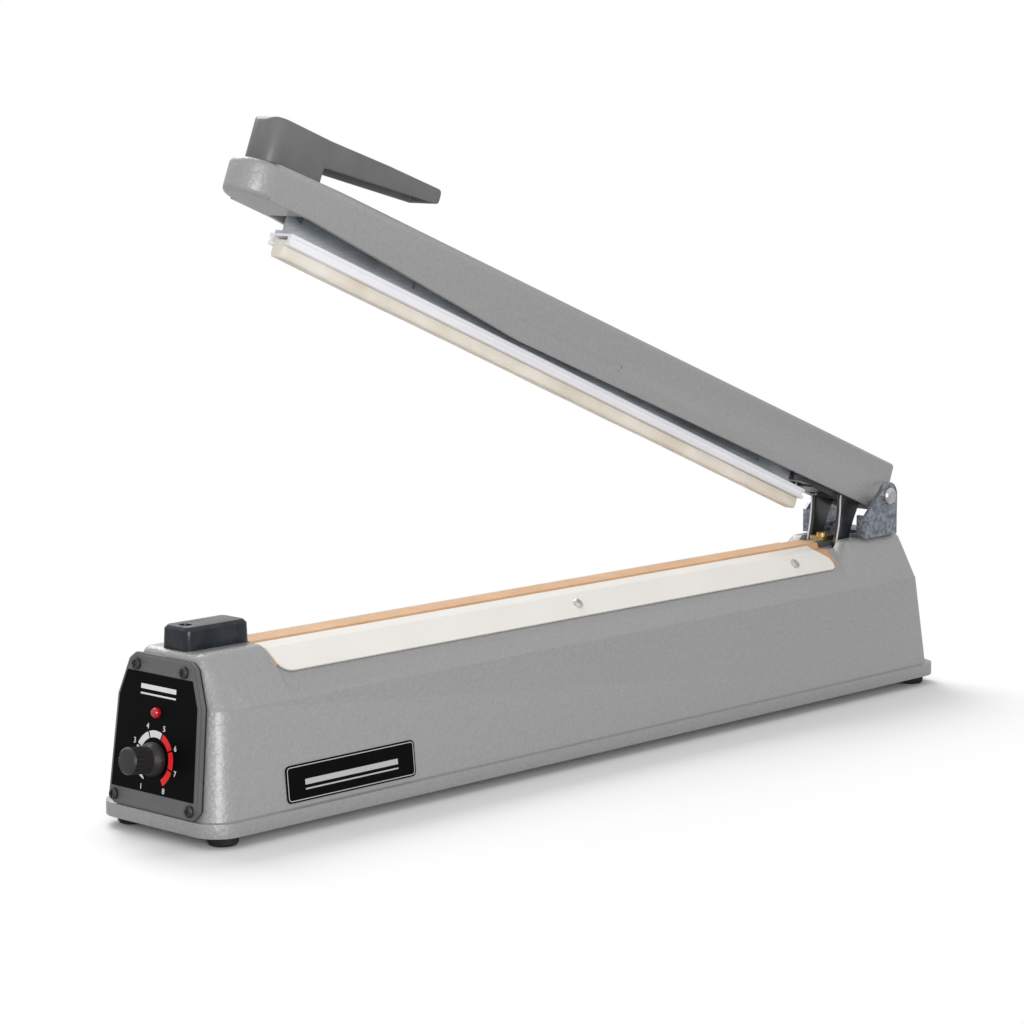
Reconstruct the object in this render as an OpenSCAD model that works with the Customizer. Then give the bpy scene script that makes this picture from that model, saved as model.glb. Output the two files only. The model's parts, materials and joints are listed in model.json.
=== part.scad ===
// Hand-operated impulse sealer: a hollow cast base with a heated sealing ridge, and a cast arm
// that swings down on it. All lengths are in millimetres and all angles in degrees.
// +X runs from the control panel to the hinge, +Y away from the near side, +Z up.
// The origin is on the floor, under the middle of the whole machine.

/* [Base casting] */
// Length over the foot flange
base_l = 541.6; // [480:0.1:600]
// Width over the foot flange
base_w = 84.3; // [80:0.1:96]
// Height of the flange
flange_h = 6.5; // [4:0.5:9]
// Ledge from the flange edge to the foot of the side walls
flange_ledge = 3.6; // [2:0.1:5]
// Ledge at the hinge end
hinge_ledge = 2.4; // [2:0.1:5]
// Ledge at the panel end
panel_ledge = 2.8; // [2:0.1:5]
// Corner radius of the flange
flange_r = 14; // [10:0.5:16]
// Height of the shoulder crease above the floor
crease_z = 60; // [54:0.5:64]
// Width across the shoulder crease
crease_w = 67; // [64:0.5:72]
// Lean of the two end walls
end_lean = 6.2; // [3:0.1:8]
// Height of the two end blocks above the floor
block_z = 84; // [82:0.5:88]
// Width of the end blocks at the top
block_w = 43; // [38:0.5:44]
// Edge radius on top of the end blocks
block_r = 5; // [3:0.5:7]
// Height of the ridge between the blocks
ridge_z = 79.7; // [77:0.1:81]
// Width of the flat on top of the ridge
ridge_w = 26.2; // [24:0.2:30]
// Wall thickness of the casting
wall = 3.5; // [2.5:0.1:4.5]
// Length of the front block along the top
front_block_l = 39.8; // [34:0.1:44]
// Length of the hinge block along the top
hinge_block_l = 51.3; // [46:0.1:56]

/* [Sealing ridge] */
// Distance from the heated bed to the hinge block
bed_gap = 10.5; // [8:0.5:12]
// Width of the bed
bed_w = 12; // [10:0.5:14]
// Thickness of the bed
bed_t = 2.5; // [2:0.1:4]
// Thickness of the glass cloth under the heating ribbon
cloth_t = 0.4; // [0.3:0.1:0.8]
// Width of the heating ribbon
ribbon_w = 3; // [2:0.5:5]
// Thickness of the heating ribbon
ribbon_t = 0.3; // [0.2:0.05:0.5]
// Thickness of the non-stick cover
cover_t = 0.3; // [0.2:0.05:0.5]
// Thickness of the clamp plates
plate_t = 1; // [0.8:0.1:1.5]
// Height of the lower facet of a clamp plate, along its slope
plate_face = 13.9; // [12:0.1:16]
// Width of the upper facet of a clamp plate, along its slope
plate_lip = 5.2; // [4:0.1:5.6]
// Steepness of the upper facet
plate_lip_lean = 24; // [20:1:30]

/* [Arm] */
// Height of the hinge pin above the floor
pin_z = 106; // [103:0.5:110]
// Distance of the hinge pin from the hinge end of the flange
pin_from_end = 24.6; // [20:0.1:26]
// Diameter of the hinge pin
pin_d = 6; // [5:0.5:8]
// Angle at which the open arm stands
open_angle = 21.2; // [15:0.1:24]
// Length of the arm from the pin to the nose
arm_l = 501.5; // [460:0.5:540]
// Length of the arm behind the pin
arm_back = 9; // [7:0.5:10]
// Width of the arm
arm_w = 27; // [25:0.5:32]
// Wall thickness of the arm
arm_wall = 2.5; // [2:0.1:3.5]
// Height of the arm's top above the pin
arm_top = 20.4; // [17:0.1:22]
// Fall of the arm's top from the hinge to the handle
top_fall = 0.9; // [0:0.1:2]
// Further fall of the top from the handle to the nose
nose_fall = 2.2; // [0:0.1:4]
// Depth of the arm's lower edge below the pin
arm_drop = 8.1; // [8:0.1:10]
// Height of the nose's underside above the pin
nose_rise = 0.9; // [0:0.1:4]
// Length over which the lower edge rises towards the nose
rise_l = 150; // [120:1:170]
// Edge radius round the nose
nose_edge = 3; // [1:0.5:5]
// Length of the solid nose
nose_l = 36; // [30:0.5:37]

/* [Handle] */
// Width of the handle
handle_w = 20; // [16:0.5:24]
// Height of the handle above the arm
handle_h = 20.4; // [16:0.1:26]
// Length of the stem along the arm
stem_l = 35.5; // [28:0.5:40]
// Reach of the finger bar behind the stem
finger_l = 77.5; // [60:0.5:84]
// Distance of the handle's front from the tip of the nose
handle_set = 7.5; // [3:0.5:12]
// Gap between the arm and the finger bar at the stem
finger_gap = 8; // [5:0.5:9]

/* [Press bar] */
// Length of the press bar
bar_l = 399.5; // [370:0.5:402]
// Distance from the pin to the bar's hinge end
bar_start = 65; // [64:1:70]
// Width of the bar's foot
bar_w = 6; // [5:0.5:8]
// Sheet thickness of the bar
bar_t = 1.5; // [1:0.1:2]
// Height of the bar
bar_h = 19; // [16:0.5:21]
// Width of the rubber holder
holder_w = 15; // [12:0.5:18]
// Length by which the holder runs past the bar at the hinge end
holder_over = 9; // [0:0.5:9]
// Height of the rubber holder
holder_h = 5.3; // [5:0.1:6]
// Height of the silicone strip below its holder
strip_h = 6; // [5:0.1:8]
// Width of the silicone strip
strip_w = 7.5; // [6:0.5:9]
// Distance from the hinge pin to the bar's pivot pin
pivot_s = 234; // [220:1:250]
// Height of the bar's pivot pin above the hinge pin
pivot_h = 1.4; // [0:0.1:4]
// Angle by which the bar hangs off the open arm
bar_hang = 0.9; // [0.2:0.1:1]

/* [Control panel] */
// Width of the bezel at the bottom
bezel_w = 61; // [56:0.5:64]
// Height of the bezel along the leaning wall
bezel_h = 70; // [66:0.5:71]
// Thickness of the bezel
bezel_t = 3; // [3:0.1:5]
// Thickness of the gasket behind it
gasket_t = 1.2; // [1:0.1:2]
// Thickness of the label
label_t = 0.3; // [0.2:0.1:0.5]
// Height of the knob's centre above the bezel's bottom
dial_z = 23.7; // [23:0.1:28]
// Height of the lamp's centre above the bezel's bottom
lamp_z = 44.8; // [44:0.1:48]
// Diameter of the lamp lens
lamp_d = 5; // [4.5:0.5:8]
// Diameter of the knob's grip
knob_d = 12.5; // [11:0.5:15]
// Diameter of the knob's skirt
knob_skirt_d = 16; // [15.5:0.5:18]
// Length of the knob
knob_l = 16; // [13:0.5:20]
// Diameter of the timer shaft
shaft_d = 6; // [5:0.5:6.5]
// Length of the badge on the near wall
badge_l = 81.5; // [60:0.5:100]
// Height of the badge
badge_h = 17.2; // [12:0.2:20]

/* [Feet and terminal cover] */
// Height of the rubber feet
foot_h = 5; // [4:0.5:8]
// Diameter of the rubber feet
foot_d = 14; // [11:0.5:16]
// Distance of the feet from the ends of the flange
foot_inset = 14; // [13:0.5:20]
// Distance from a foot's centre to the foot of the side wall
foot_side = 7.5; // [7:0.1:8]
// Length of the terminal cover
cover_l = 37.6; // [32:0.1:38]
// Width of the terminal cover
cover_w = 18.8; // [15:0.2:20]
// Height of the terminal cover
cover_h = 10.5; // [9:0.5:12]

/* [Inside] */
// Length of the transformer's iron core
core_l = 66; // [56:1:80]
// Width of the transformer's iron core
core_w = 34; // [28:1:38]
// Height of the transformer's iron core
core_h = 46; // [40:1:50]
// Length of the timer board
board_l = 70; // [60:1:90]
// Width of the timer board
board_w = 46; // [40:1:50]
// Diameter of the return spring
spring_d = 8; // [6:0.5:9]
// Wire thickness of the return spring
wire_d = 1.2; // [1:0.1:1.4]
// Radius of the hole in the mains grommet
grommet_r = 3.6; // [3:0.1:4.5]

/* [Hidden] */
$fn = 48;
sliver = 0.01;
seat = 0.8;
screw_fit = 0.05;
run_fit = 0.05;

floor_z = foot_h;
wall_z = foot_h + flange_h;
plate_sheet = 1.2;
lid_z = floor_z + plate_sheet;
foot_w = base_w - 2 * flange_ledge;
foot_row = foot_w - 2 * foot_side;
pin_x = base_l - pin_from_end;
knob_gap = 0.5;
panel_depth = gasket_t + bezel_t;
bezel_foot = 0.3;
dial_up = bezel_foot + dial_z;
lamp_up = bezel_foot + lamp_z;
knob_reach = (panel_depth + knob_gap + knob_l) * cos(end_lean) - panel_ledge
    - dial_up * sin(end_lean) + knob_d / 2 * sin(end_lean);

function end_in(z) = panel_ledge + (z - wall_z) * tan(end_lean);
function tail(z) = base_l - hinge_ledge - (z - wall_z) * tan(end_lean);
front_x0 = end_in(block_z);
front_x1 = front_x0 + front_block_l + 2;
hinge_x1 = tail(block_z);
hinge_x0 = hinge_x1 - hinge_block_l;
roof_z = ridge_z - wall;

ridge_fall = (ridge_z - crease_z) / ((crease_w - ridge_w) / 2);
ridge_slope = atan(ridge_fall);
function ridge_half(z) = crease_w / 2 - (z - crease_z) / ridge_fall;
inner_slip = wall / sin(ridge_slope);

pocket_w = 25;
slot_w = 4.6;
slot_y = 9.3;
slot_x0 = pin_x - 38;
slot_x1 = pin_x - 9;

bed_x0 = front_x1 + 1;
bed_x1 = hinge_x0 - bed_gap;
bed_l = bed_x1 - bed_x0;
cloth_z = ridge_z + bed_t;
ribbon_z = cloth_z + cloth_t;
cover_z = ribbon_z + ribbon_t;
cover_top = cover_z + cover_t;

strip_foot = cover_top + seat - pin_z;
holder_foot = strip_foot + strip_h;
holder_head = holder_foot + holder_h;
bar_far = bar_start + bar_l;
bar_foot = holder_head;

module machine() { translate([-(base_l - knob_reach) / 2, 0, 0]) children(); }
module on_panel() { translate([panel_ledge, 0, wall_z]) rotate([0, end_lean, 0]) children(); }
module on_hinge_end() {
    translate([base_l - hinge_ledge, 0, wall_z]) rotate([0, -end_lean, 0]) children();
}
module in_arm() { translate([pin_x, 0, pin_z]) rotate([0, open_angle, 0]) children(); }
module in_bar() {
    in_arm() translate([-pivot_s, 0, pivot_h]) rotate([0, bar_hang, 0])
        translate([pivot_s, 0, -pivot_h]) children();
}
module along_x(x0, x1) {
    translate([x0, 0, 0]) rotate([90, 0, 90]) linear_extrude(x1 - x0) children();
}
module along_y(w) { rotate([90, 0, 0]) linear_extrude(w, center = true) children(); }
module both_sides() { children(); mirror([0, 1, 0]) children(); }
module plan_rect(x0, x1, w, r) {
    translate([x0 + r, -w / 2]) square([x1 - x0 - 2 * r, w]);
    translate([x0, r - w / 2]) square([x1 - x0, w - 2 * r]);
    for (x = [x0 + r, x1 - r], y = [r - w / 2, w / 2 - r]) translate([x, y]) circle(r);
}
module slab(z, x0, x1, w, r) {
    translate([0, 0, z]) linear_extrude(sliver) plan_rect(x0, x1, w, r, $fn = 32);
}
module screw(d, l, head_d, head_h) {
    translate([0, 0, -l]) cylinder(d = d, h = l);
    difference() {
        union() {
            cylinder(d = head_d, h = head_h * 0.6);
            translate([0, 0, head_h * 0.6])
                cylinder(d1 = head_d, d2 = head_d * 0.7, h = head_h * 0.4);
        }
        for (a = [0, 90]) rotate(a)
            translate([-head_d * 0.3, -head_d * 0.07, head_h * 0.5])
                cube([head_d * 0.6, head_d * 0.14, head_h]);
    }
}
module screw_hole(d, l) { translate([0, 0, -l]) cylinder(d = d + 2 * screw_fit, h = l + 1); }

panel_screw_d = 3;
panel_screw_l = 12;
module at_panel_screws() {
    for (s = [-1, 1]) {
        translate([0, s * (bezel_w / 2 - 4.5), bezel_foot + 4.2]) children();
        translate([0, s * (bezel_w / 2 - 14.2), bezel_foot + bezel_h - 5.2]) children();
    }
}
module at_feet() {
    for (x = [foot_inset, base_l - foot_inset], s = [-1, 1])
        translate([x, s * foot_row / 2, 0]) children();
}
lid_screw_x = [base_l * 0.36, base_l * 0.66];
lid_screw_y = foot_w / 2 - wall - 3.5;
module at_lid_screws() {
    for (x = lid_screw_x, s = [-1, 1]) translate([x, s * lid_screw_y, 0]) children();
}
plate_screw_x = [262, 437];
plate_screw_v = 6.5;
module on_slope() {
    translate([0, -ridge_w / 2, ridge_z]) rotate([ridge_slope, 0, 0]) mirror([0, 1, 0]) children();
}
module at_plate_screws() {
    both_sides() for (x = plate_screw_x) on_slope() translate([x, plate_screw_v, 0]) children();
}
bracket_screw_x = [pin_x - 14, pin_x + 1];
bracket_screw_y = 16;
module at_bracket_screws() {
    for (x = bracket_screw_x, s = [-1, 1]) translate([x, s * bracket_screw_y, 0]) children();
}
grommet_up = 12;
cover_screw_x = front_x0 + 9.8;
terminal_w = 9;
pad_w = 11;
front_pad_x0 = front_x0 + 19.8;
front_post_x = front_pad_x0 + 4;
rear_post_x = pin_x - 32;
rear_pad_x1 = pin_x - 24;
spring_post_x = pin_x - 92;

block_run = 10;
module block_hull(x0, x1, foot0, foot1, end0, end1) {
    hull() {
        slab(crease_z - 0.5, foot0, foot1, crease_w, 10);
        slab(block_z - 8, end0, end1, block_w + 6.5, 8);
        for (x = [x0 + block_r, x1 - block_r], s = [-1, 1])
            translate([x, s * (block_w / 2 - block_r), block_z - block_r])
                sphere(block_r, $fn = 32);
    }
}
module base_shell() {
    difference() {
        union() {
            translate([0, 0, floor_z]) linear_extrude(flange_h)
                plan_rect(0, base_l, base_w, flange_r);
            hull() {
                slab(wall_z - 1, end_in(wall_z), tail(wall_z), foot_w, flange_r - 2);
                slab(crease_z, end_in(crease_z), tail(crease_z), crease_w, 10);
            }
            along_x(front_x0 + 18, hinge_x0 + 24) polygon([
                [-ridge_half(crease_z - 0.3), crease_z - 0.3],
                [ridge_half(crease_z - 0.3), crease_z - 0.3],
                [ridge_w / 2, ridge_z], [-ridge_w / 2, ridge_z]]);
            block_hull(front_x0, front_x1, end_in(crease_z), front_x1 + block_run,
                end_in(block_z - 8), front_x1 + 2);
            block_hull(hinge_x0, hinge_x1, hinge_x0 - block_run - 4, tail(crease_z),
                hinge_x0 - 4, tail(block_z - 8));
        }
        hull() {
            slab(lid_z - sliver, panel_ledge + wall, base_l - hinge_ledge - wall,
                foot_w - 2 * wall, flange_r - 2 - wall);
            slab(crease_z - 2, end_in(crease_z) + wall, tail(crease_z) - wall,
                crease_w - 2 * wall, 6);
        }
        translate([0, 0, floor_z - 1]) linear_extrude(plate_sheet + 1)
            plan_rect(wall + 0.5, base_l - wall - 0.5, base_w - 2 * wall - 1, flange_r - wall);
        along_x(end_in(roof_z) + wall + 1, tail(roof_z) - wall - 1) polygon([
            [wall - crease_w / 2, crease_z - 3], [crease_w / 2 - wall, crease_z - 3],
            [crease_w / 2 - wall, crease_z - ridge_fall * (inner_slip - wall)],
            [ridge_half(roof_z) - inner_slip, roof_z],
            [inner_slip - ridge_half(roof_z), roof_z],
            [wall - crease_w / 2, crease_z - ridge_fall * (inner_slip - wall)]]);
    }
}
module base_bosses() {
    at_feet() translate([0, 0, lid_z]) cylinder(r = 4.5, h = 14);
    at_lid_screws() translate([0, 0, lid_z]) cylinder(r = 4, h = 14);
    on_panel() at_panel_screws() rotate([0, 90, 0]) cylinder(r = 3.2, h = panel_screw_l - 2);
}
module base_casting() {
    machine() color([0.62, 0.62, 0.62]) difference() {
        union() {
            base_shell();
            intersection() {
                base_bosses();
                hull() {
                    slab(lid_z, panel_ledge + 1, base_l - hinge_ledge - 1, foot_w - 2, flange_r - 3);
                    slab(crease_z + 14, end_in(crease_z + 14) + 1,
                        tail(crease_z + 14) - 1, block_w, 8);
                }
            }
        }
        at_feet() translate([0, 0, floor_z - 1]) cylinder(d = 4 + 2 * screw_fit, h = 13);
        at_lid_screws() translate([0, 0, floor_z - 1]) cylinder(d = 3.5 + 2 * screw_fit, h = 13);
        on_panel() {
            at_panel_screws() rotate([0, -90, 0]) screw_hole(panel_screw_d, panel_screw_l - panel_depth);
            translate([-1, -19, 9]) cube([wall + 11, 38, 48]);
        }
        at_plate_screws() screw_hole(3, 9);
        translate([front_pad_x0 - 2, -pad_w / 2 - 0.6, ridge_z])
            cube([front_x1 - front_pad_x0 + 13, pad_w + 1.2, 20]);
        translate([cover_screw_x, 0, block_z]) screw_hole(3, 7);
        translate([hinge_x0 - 8, -pocket_w / 2, ridge_z])
            cube([slot_x1 - hinge_x0 + 8, pocket_w, 20]);
        both_sides() translate([slot_x0, slot_y - slot_w / 2, roof_z - 10])
            cube([slot_x1 - slot_x0, slot_w, 30]);
        translate([0, 0, block_z]) at_bracket_screws() screw_hole(4, 9);
        translate([spring_post_x, 0, roof_z]) cylinder(d = 4 + 2 * screw_fit, h = 2);
        on_hinge_end() translate([-wall - 2, 0, grommet_up]) rotate([0, 90, 0])
            cylinder(r = grommet_r + 2.4, h = wall + 6);
        for (x = [front_post_x, rear_post_x]) translate([x, 0, ridge_z]) screw_hole(3, 20);
    }
}
module bottom_plate() {
    machine() color([0.75, 0.76, 0.78]) difference() {
        translate([0, 0, floor_z]) linear_extrude(plate_sheet)
            plan_rect(wall + 0.7, base_l - wall - 0.7, base_w - 2 * wall - 1.4, flange_r - wall - 0.2);
        at_feet() cylinder(d = 4.4, h = 20);
        at_lid_screws() cylinder(d = 3.9, h = 20);
        at_strap_feet() translate([0, 0, -5]) cylinder(d = 3 + 2 * screw_fit, h = 9);
        at_pillars() translate([0, 0, -5]) cylinder(d = 3 + 2 * screw_fit, h = 9);
        at_bracket_foot() cylinder(d = 3 + 2 * screw_fit, h = 20);
    }
}
module bottom_plate_screws() {
    machine() color([0.8, 0.8, 0.82]) at_lid_screws() translate([0, 0, floor_z])
        rotate([180, 0, 0]) screw(3.5, 11, 6.5, 2);
}
module rubber_feet() {
    machine() color([0.1, 0.1, 0.1]) at_feet() difference() {
        union() {
            cylinder(d1 = foot_d - 1.6, d2 = foot_d, h = 1.2);
            translate([0, 0, 1.2]) cylinder(d = foot_d, h = foot_h - 1.2);
        }
        translate([0, 0, -1]) cylinder(d = foot_d - 5, h = foot_h - 1);
        cylinder(d = 4.4, h = foot_h + 1);
    }
}
module feet_screws() {
    machine() color([0.8, 0.8, 0.82]) at_feet() translate([0, 0, foot_h - 2])
        rotate([180, 0, 0]) screw(4, 13, 7, 1.6);
}

// The bezel follows the drafted end wall: straight sides up to the crease, then narrower.
bezel_shoulder = 50;
bezel_top_in = 8;
bezel_corner = 2;
module bezel_outline(inset) {
    half = bezel_w / 2 - inset;
    offset(r = bezel_corner, $fn = 24) offset(delta = -bezel_corner) polygon([
        [3 - half, bezel_foot + inset], [half - 3, bezel_foot + inset],
        [half, bezel_foot + inset + 4], [half - 1.8, bezel_foot + bezel_shoulder],
        [half - bezel_top_in, bezel_foot + bezel_h - 3],
        [half - bezel_top_in - 4, bezel_foot + bezel_h - inset],
        [bezel_top_in + 4 - half, bezel_foot + bezel_h - inset],
        [bezel_top_in - half, bezel_foot + bezel_h - 3],
        [1.8 - half, bezel_foot + bezel_shoulder], [-half, bezel_foot + inset + 4]]);
}
module on_face(x0, t) { translate([-x0 - t, 0, 0]) rotate([90, 0, 90]) linear_extrude(t) children(); }
module panel_gasket() {
    machine() color([0.13, 0.13, 0.14]) on_panel() difference() {
        on_face(0, gasket_t) bezel_outline(0.4);
        translate([-gasket_t - 1, -19, 9]) cube([gasket_t + 2, 38, 48]);
        translate([-panel_depth, 0, 0]) at_panel_screws() rotate([0, -90, 0])
            screw_hole(panel_screw_d + 0.4, panel_depth + 1);
    }
}
module front_bezel() {
    machine() color([0.38, 0.38, 0.38]) on_panel() difference() {
        union() {
            on_face(gasket_t, bezel_t - 1) bezel_outline(0);
            on_face(gasket_t + bezel_t - 1, 1) bezel_outline(0.9);
        }
        translate([-panel_depth, 0, 0]) at_panel_screws() rotate([0, -90, 0])
            screw_hole(panel_screw_d + 0.4, panel_depth + 1);
        translate([-panel_depth - 1, 0, dial_up]) rotate([0, 90, 0]) cylinder(r = 4.6, h = 9);
        translate([-panel_depth - 1, 0, lamp_up]) rotate([0, 90, 0])
            cylinder(d = lamp_d + 0.2, h = 9);
    }
}
module panel_label() {
    machine() color([0.03, 0.03, 0.03]) on_panel() difference() {
        on_face(panel_depth, label_t) intersection() {
            bezel_outline(2.3);
            translate([-bezel_w, 8.5]) square([2 * bezel_w, 53.5]);
        }
        translate([-panel_depth - 1, 0, dial_up]) rotate([0, 90, 0]) cylinder(r = 7.2, h = 9);
        translate([-panel_depth - 1, 0, lamp_up]) rotate([0, 90, 0])
            cylinder(d = lamp_d + 0.2, h = 9);
    }
}
module panel_screws() {
    machine() color([0.75, 0.75, 0.75]) on_panel() translate([-panel_depth, 0, 0])
        at_panel_screws() rotate([0, -90, 0]) screw(panel_screw_d, panel_screw_l, 5.4, 1.6);
}
module indicator_lamp() {
    machine() color([0.85, 0.02, 0.05]) on_panel()
        translate([-panel_depth, 0, lamp_up]) rotate([0, -90, 0]) rotate_extrude() {
            translate([0, -bezel_t]) square([lamp_d / 2, bezel_t + 0.8]);
            intersection() {
                translate([0, 0.8]) circle(lamp_d / 2);
                translate([0, 0.8]) square(lamp_d);
            }
        }
}
module lamp_body() {
    machine() color([0.2, 0.2, 0.2]) on_panel()
        translate([-gasket_t, 0, lamp_up]) rotate([0, 90, 0]) cylinder(d = lamp_d + 3, h = 12);
}
module timer_potentiometer() {
    machine() color([0.6, 0.6, 0.62]) on_panel() translate([-gasket_t, 0, dial_up])
        rotate([0, 90, 0]) difference() {
            union() {
                cylinder(d = 17, h = 8);
                translate([0, 0, -bezel_t - 2]) cylinder(d = 9, h = bezel_t + 3);
                translate([-7, 6, 2]) cube([14, 7, 2]);
            }
            translate([0, 0, -bezel_t - 3]) cylinder(d = shaft_d + 2 * run_fit, h = bezel_t + 8);
        }
}
module potentiometer_nut() {
    machine() color([0.75, 0.75, 0.75]) on_panel() translate([-panel_depth, 0, dial_up])
        rotate([0, -90, 0]) difference() {
            cylinder(d = 13, h = 1.9, $fn = 6);
            translate([0, 0, -1]) cylinder(d = 9 + 2 * screw_fit, h = 4);
        }
}
shaft_out = 10;
module potentiometer_shaft() {
    machine() color([0.8, 0.8, 0.8]) on_panel() translate([-gasket_t, 0, dial_up])
        rotate([0, -90, 0]) translate([0, 0, -4]) cylinder(d = shaft_d, h = bezel_t + 4 + shaft_out);
}
flutes = 18;
pointer_turn = 75;
module timer_knob() {
    machine() color([0.12, 0.12, 0.12]) on_panel()
        translate([-panel_depth - knob_gap, 0, dial_up]) rotate([0, -90, 0])
        rotate(pointer_turn) difference() {
            union() {
                cylinder(d1 = knob_skirt_d, d2 = knob_skirt_d - 0.6, h = 2.2);
                translate([0, 0, 2.2]) cylinder(d1 = knob_skirt_d - 0.6, d2 = knob_d, h = 2.6);
                cylinder(d = knob_d, h = knob_l - 1);
                translate([0, 0, knob_l - 1]) cylinder(d1 = knob_d, d2 = knob_d - 2, h = 1);
            }
            for (i = [0:flutes - 1]) rotate(i * 360 / flutes)
                translate([knob_d / 2 + 0.35, 0, 5.2]) cylinder(r = 0.8, h = knob_l - 6.6);
            translate([0, 0, -1]) cylinder(d = knob_skirt_d - 2.4, h = 3);
            translate([0, 0, -1]) cylinder(d = shaft_d + 0.04, h = shaft_out - knob_gap + 1.2);
            translate([knob_d / 2 - 2.2, -0.5, knob_l - 1.6]) cube([4, 1, 3]);
        }
}

// The terminal cover is a thin moulded box with soft edges, held down by one screw.
cover_wall = 1.6;
module terminal_cover() {
    x0 = front_x0 + 3;
    machine() color([0.25, 0.29, 0.34]) translate([0, 0, block_z]) difference() {
        union() {
            difference() {
                hull() {
                    slab(0, x0, x0 + cover_l, cover_w, 3.5);
                    slab(cover_h - 1.6, x0 + 0.3, x0 + cover_l - 0.3, cover_w - 0.6, 3.4);
                    slab(cover_h - sliver, x0 + 1.8, x0 + cover_l - 1.8, cover_w - 3.6, 2.4);
                }
                translate([0, 0, -1]) linear_extrude(cover_h - cover_wall + 1)
                    plan_rect(x0 + cover_wall, x0 + cover_l - cover_wall,
                        cover_w - 2 * cover_wall, 1.8);
            }
            translate([cover_screw_x, 0, 0]) cylinder(r = 3.8, h = cover_h - 1);
        }
        translate([cover_screw_x, 0, -1]) cylinder(d = 3.4, h = cover_h + 2);
        translate([cover_screw_x, 0, cover_h - 3.5]) cylinder(r = 2.9, h = 4);
        translate([x0 + cover_l - 3, -3, -1]) cube([4, 6, 2]);
    }
}
module terminal_cover_screw() {
    machine() color([0.75, 0.75, 0.75]) translate([cover_screw_x, 0, block_z + cover_h - 3.5])
        screw(3, cover_h + 2, 5.4, 1.6);
}
badge_x0 = 46.2;
badge_z = 13.5;
badge_glue = 0.03;
badge_t = 0.6;
wall_lean = atan((foot_w - crease_w) / 2 / (crease_z - wall_z + 1));
module side_badge() {
    machine() color([0.04, 0.04, 0.04])
        translate([badge_x0, (badge_z - wall_z + 1) * tan(wall_lean) - foot_w / 2, badge_z])
            rotate([90 - wall_lean, 0, 0]) translate([0, badge_h / 2, badge_glue])
                linear_extrude(badge_t) plan_rect(0, badge_l, badge_h, 2.5);
}
module terminal(x) {
    pad = bed_t + cloth_t;
    translate([x, 0, ridge_z]) difference() {
        union() {
            translate([-5, -terminal_w / 2, pad + ribbon_t]) cube([10, terminal_w, 2.2]);
            translate([0, 0, pad + ribbon_t + 2.2]) cylinder(d = 6, h = 1.6);
            translate([0, 0, pad + ribbon_t - 9]) cylinder(d = 3, h = 10);
        }
        translate([-2.4, -0.4, pad + ribbon_t + 3]) cube([4.8, 0.8, 2]);
    }
}
module front_terminal() { machine() color([0.8, 0.62, 0.3]) terminal(front_post_x); }
module rear_terminal() { machine() color([0.8, 0.62, 0.3]) terminal(rear_post_x); }
module terminal_pads() {
    machine() color([0.45, 0.28, 0.16]) difference() {
        union() {
            translate([front_pad_x0, -pad_w / 2, ridge_z])
                cube([bed_x0 - seat - front_pad_x0, pad_w, bed_t + cloth_t]);
            translate([bed_x1 + seat, -pad_w / 2, ridge_z])
                cube([rear_pad_x1 - bed_x1 - seat, pad_w, bed_t + cloth_t]);
        }
        for (x = [front_post_x, rear_post_x])
            translate([x, 0, 0]) cylinder(d = 3 + 2 * screw_fit, h = 200);
    }
}
module sealing_bed() {
    machine() color([0.75, 0.76, 0.78]) translate([bed_x0, -bed_w / 2, ridge_z])
        cube([bed_l, bed_w, bed_t]);
}
module glass_cloth() {
    machine() color([0.85, 0.8, 0.7]) translate([bed_x0, -bed_w / 2 + 0.2, cloth_z])
        cube([bed_l, bed_w - 0.4, cloth_t]);
}
module heating_ribbon() {
    machine() color([0.7, 0.7, 0.68]) difference() {
        translate([front_pad_x0 - 1, -ribbon_w / 2 - 0.6, ribbon_z])
            cube([rear_pad_x1 - 2 - front_pad_x0, ribbon_w + 1.2, ribbon_t]);
        for (x = [front_post_x, rear_post_x])
            translate([x, 0, 0]) cylinder(d = 3 + 2 * screw_fit, h = 200);
        both_sides() translate([bed_x0, ribbon_w / 2, 0]) cube([bed_l, 5, 200]);
    }
}
// The non-stick cover lies over the bed and tucks under both clamp plates.
tuck = 9.5;
cover_side = bed_w / 2 + 0.35;
module cover_path(off) {
    polygon([
        [0, cover_z + off], [cover_side + off * 0.7, cover_z + off],
        [cover_side + 1.3 + off, ridge_z + off], [ridge_w / 2 + off * tan(ridge_slope / 2), ridge_z + off],
        [ridge_w / 2 + tuck * cos(ridge_slope) + off * sin(ridge_slope),
            ridge_z - tuck * sin(ridge_slope) + off * cos(ridge_slope)],
        [0, ridge_z - tuck * sin(ridge_slope)]]);
}
cover_x0 = front_x1 + 0.7;
cover_x1 = bed_x1 + 2.5;
cover_clear = 0.5;
module ptfe_cover() {
    machine() color([0.82, 0.66, 0.48]) difference() {
        both_sides() along_x(cover_x0, cover_x1) difference() {
            cover_path(cover_t);
            cover_path(0);
            translate([-1, 0]) square([1, 200]);
        }
        along_y(crease_w) polygon([[0, block_z], [front_x1 + cover_clear - 1.8, block_z],
            [front_x1 + cover_clear + block_run, crease_z - 0.5], [0, crease_z - 0.5]]);
        at_plate_screws() translate([0, 0, -2]) cylinder(d = 3.4, h = 6);
    }
}
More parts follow.
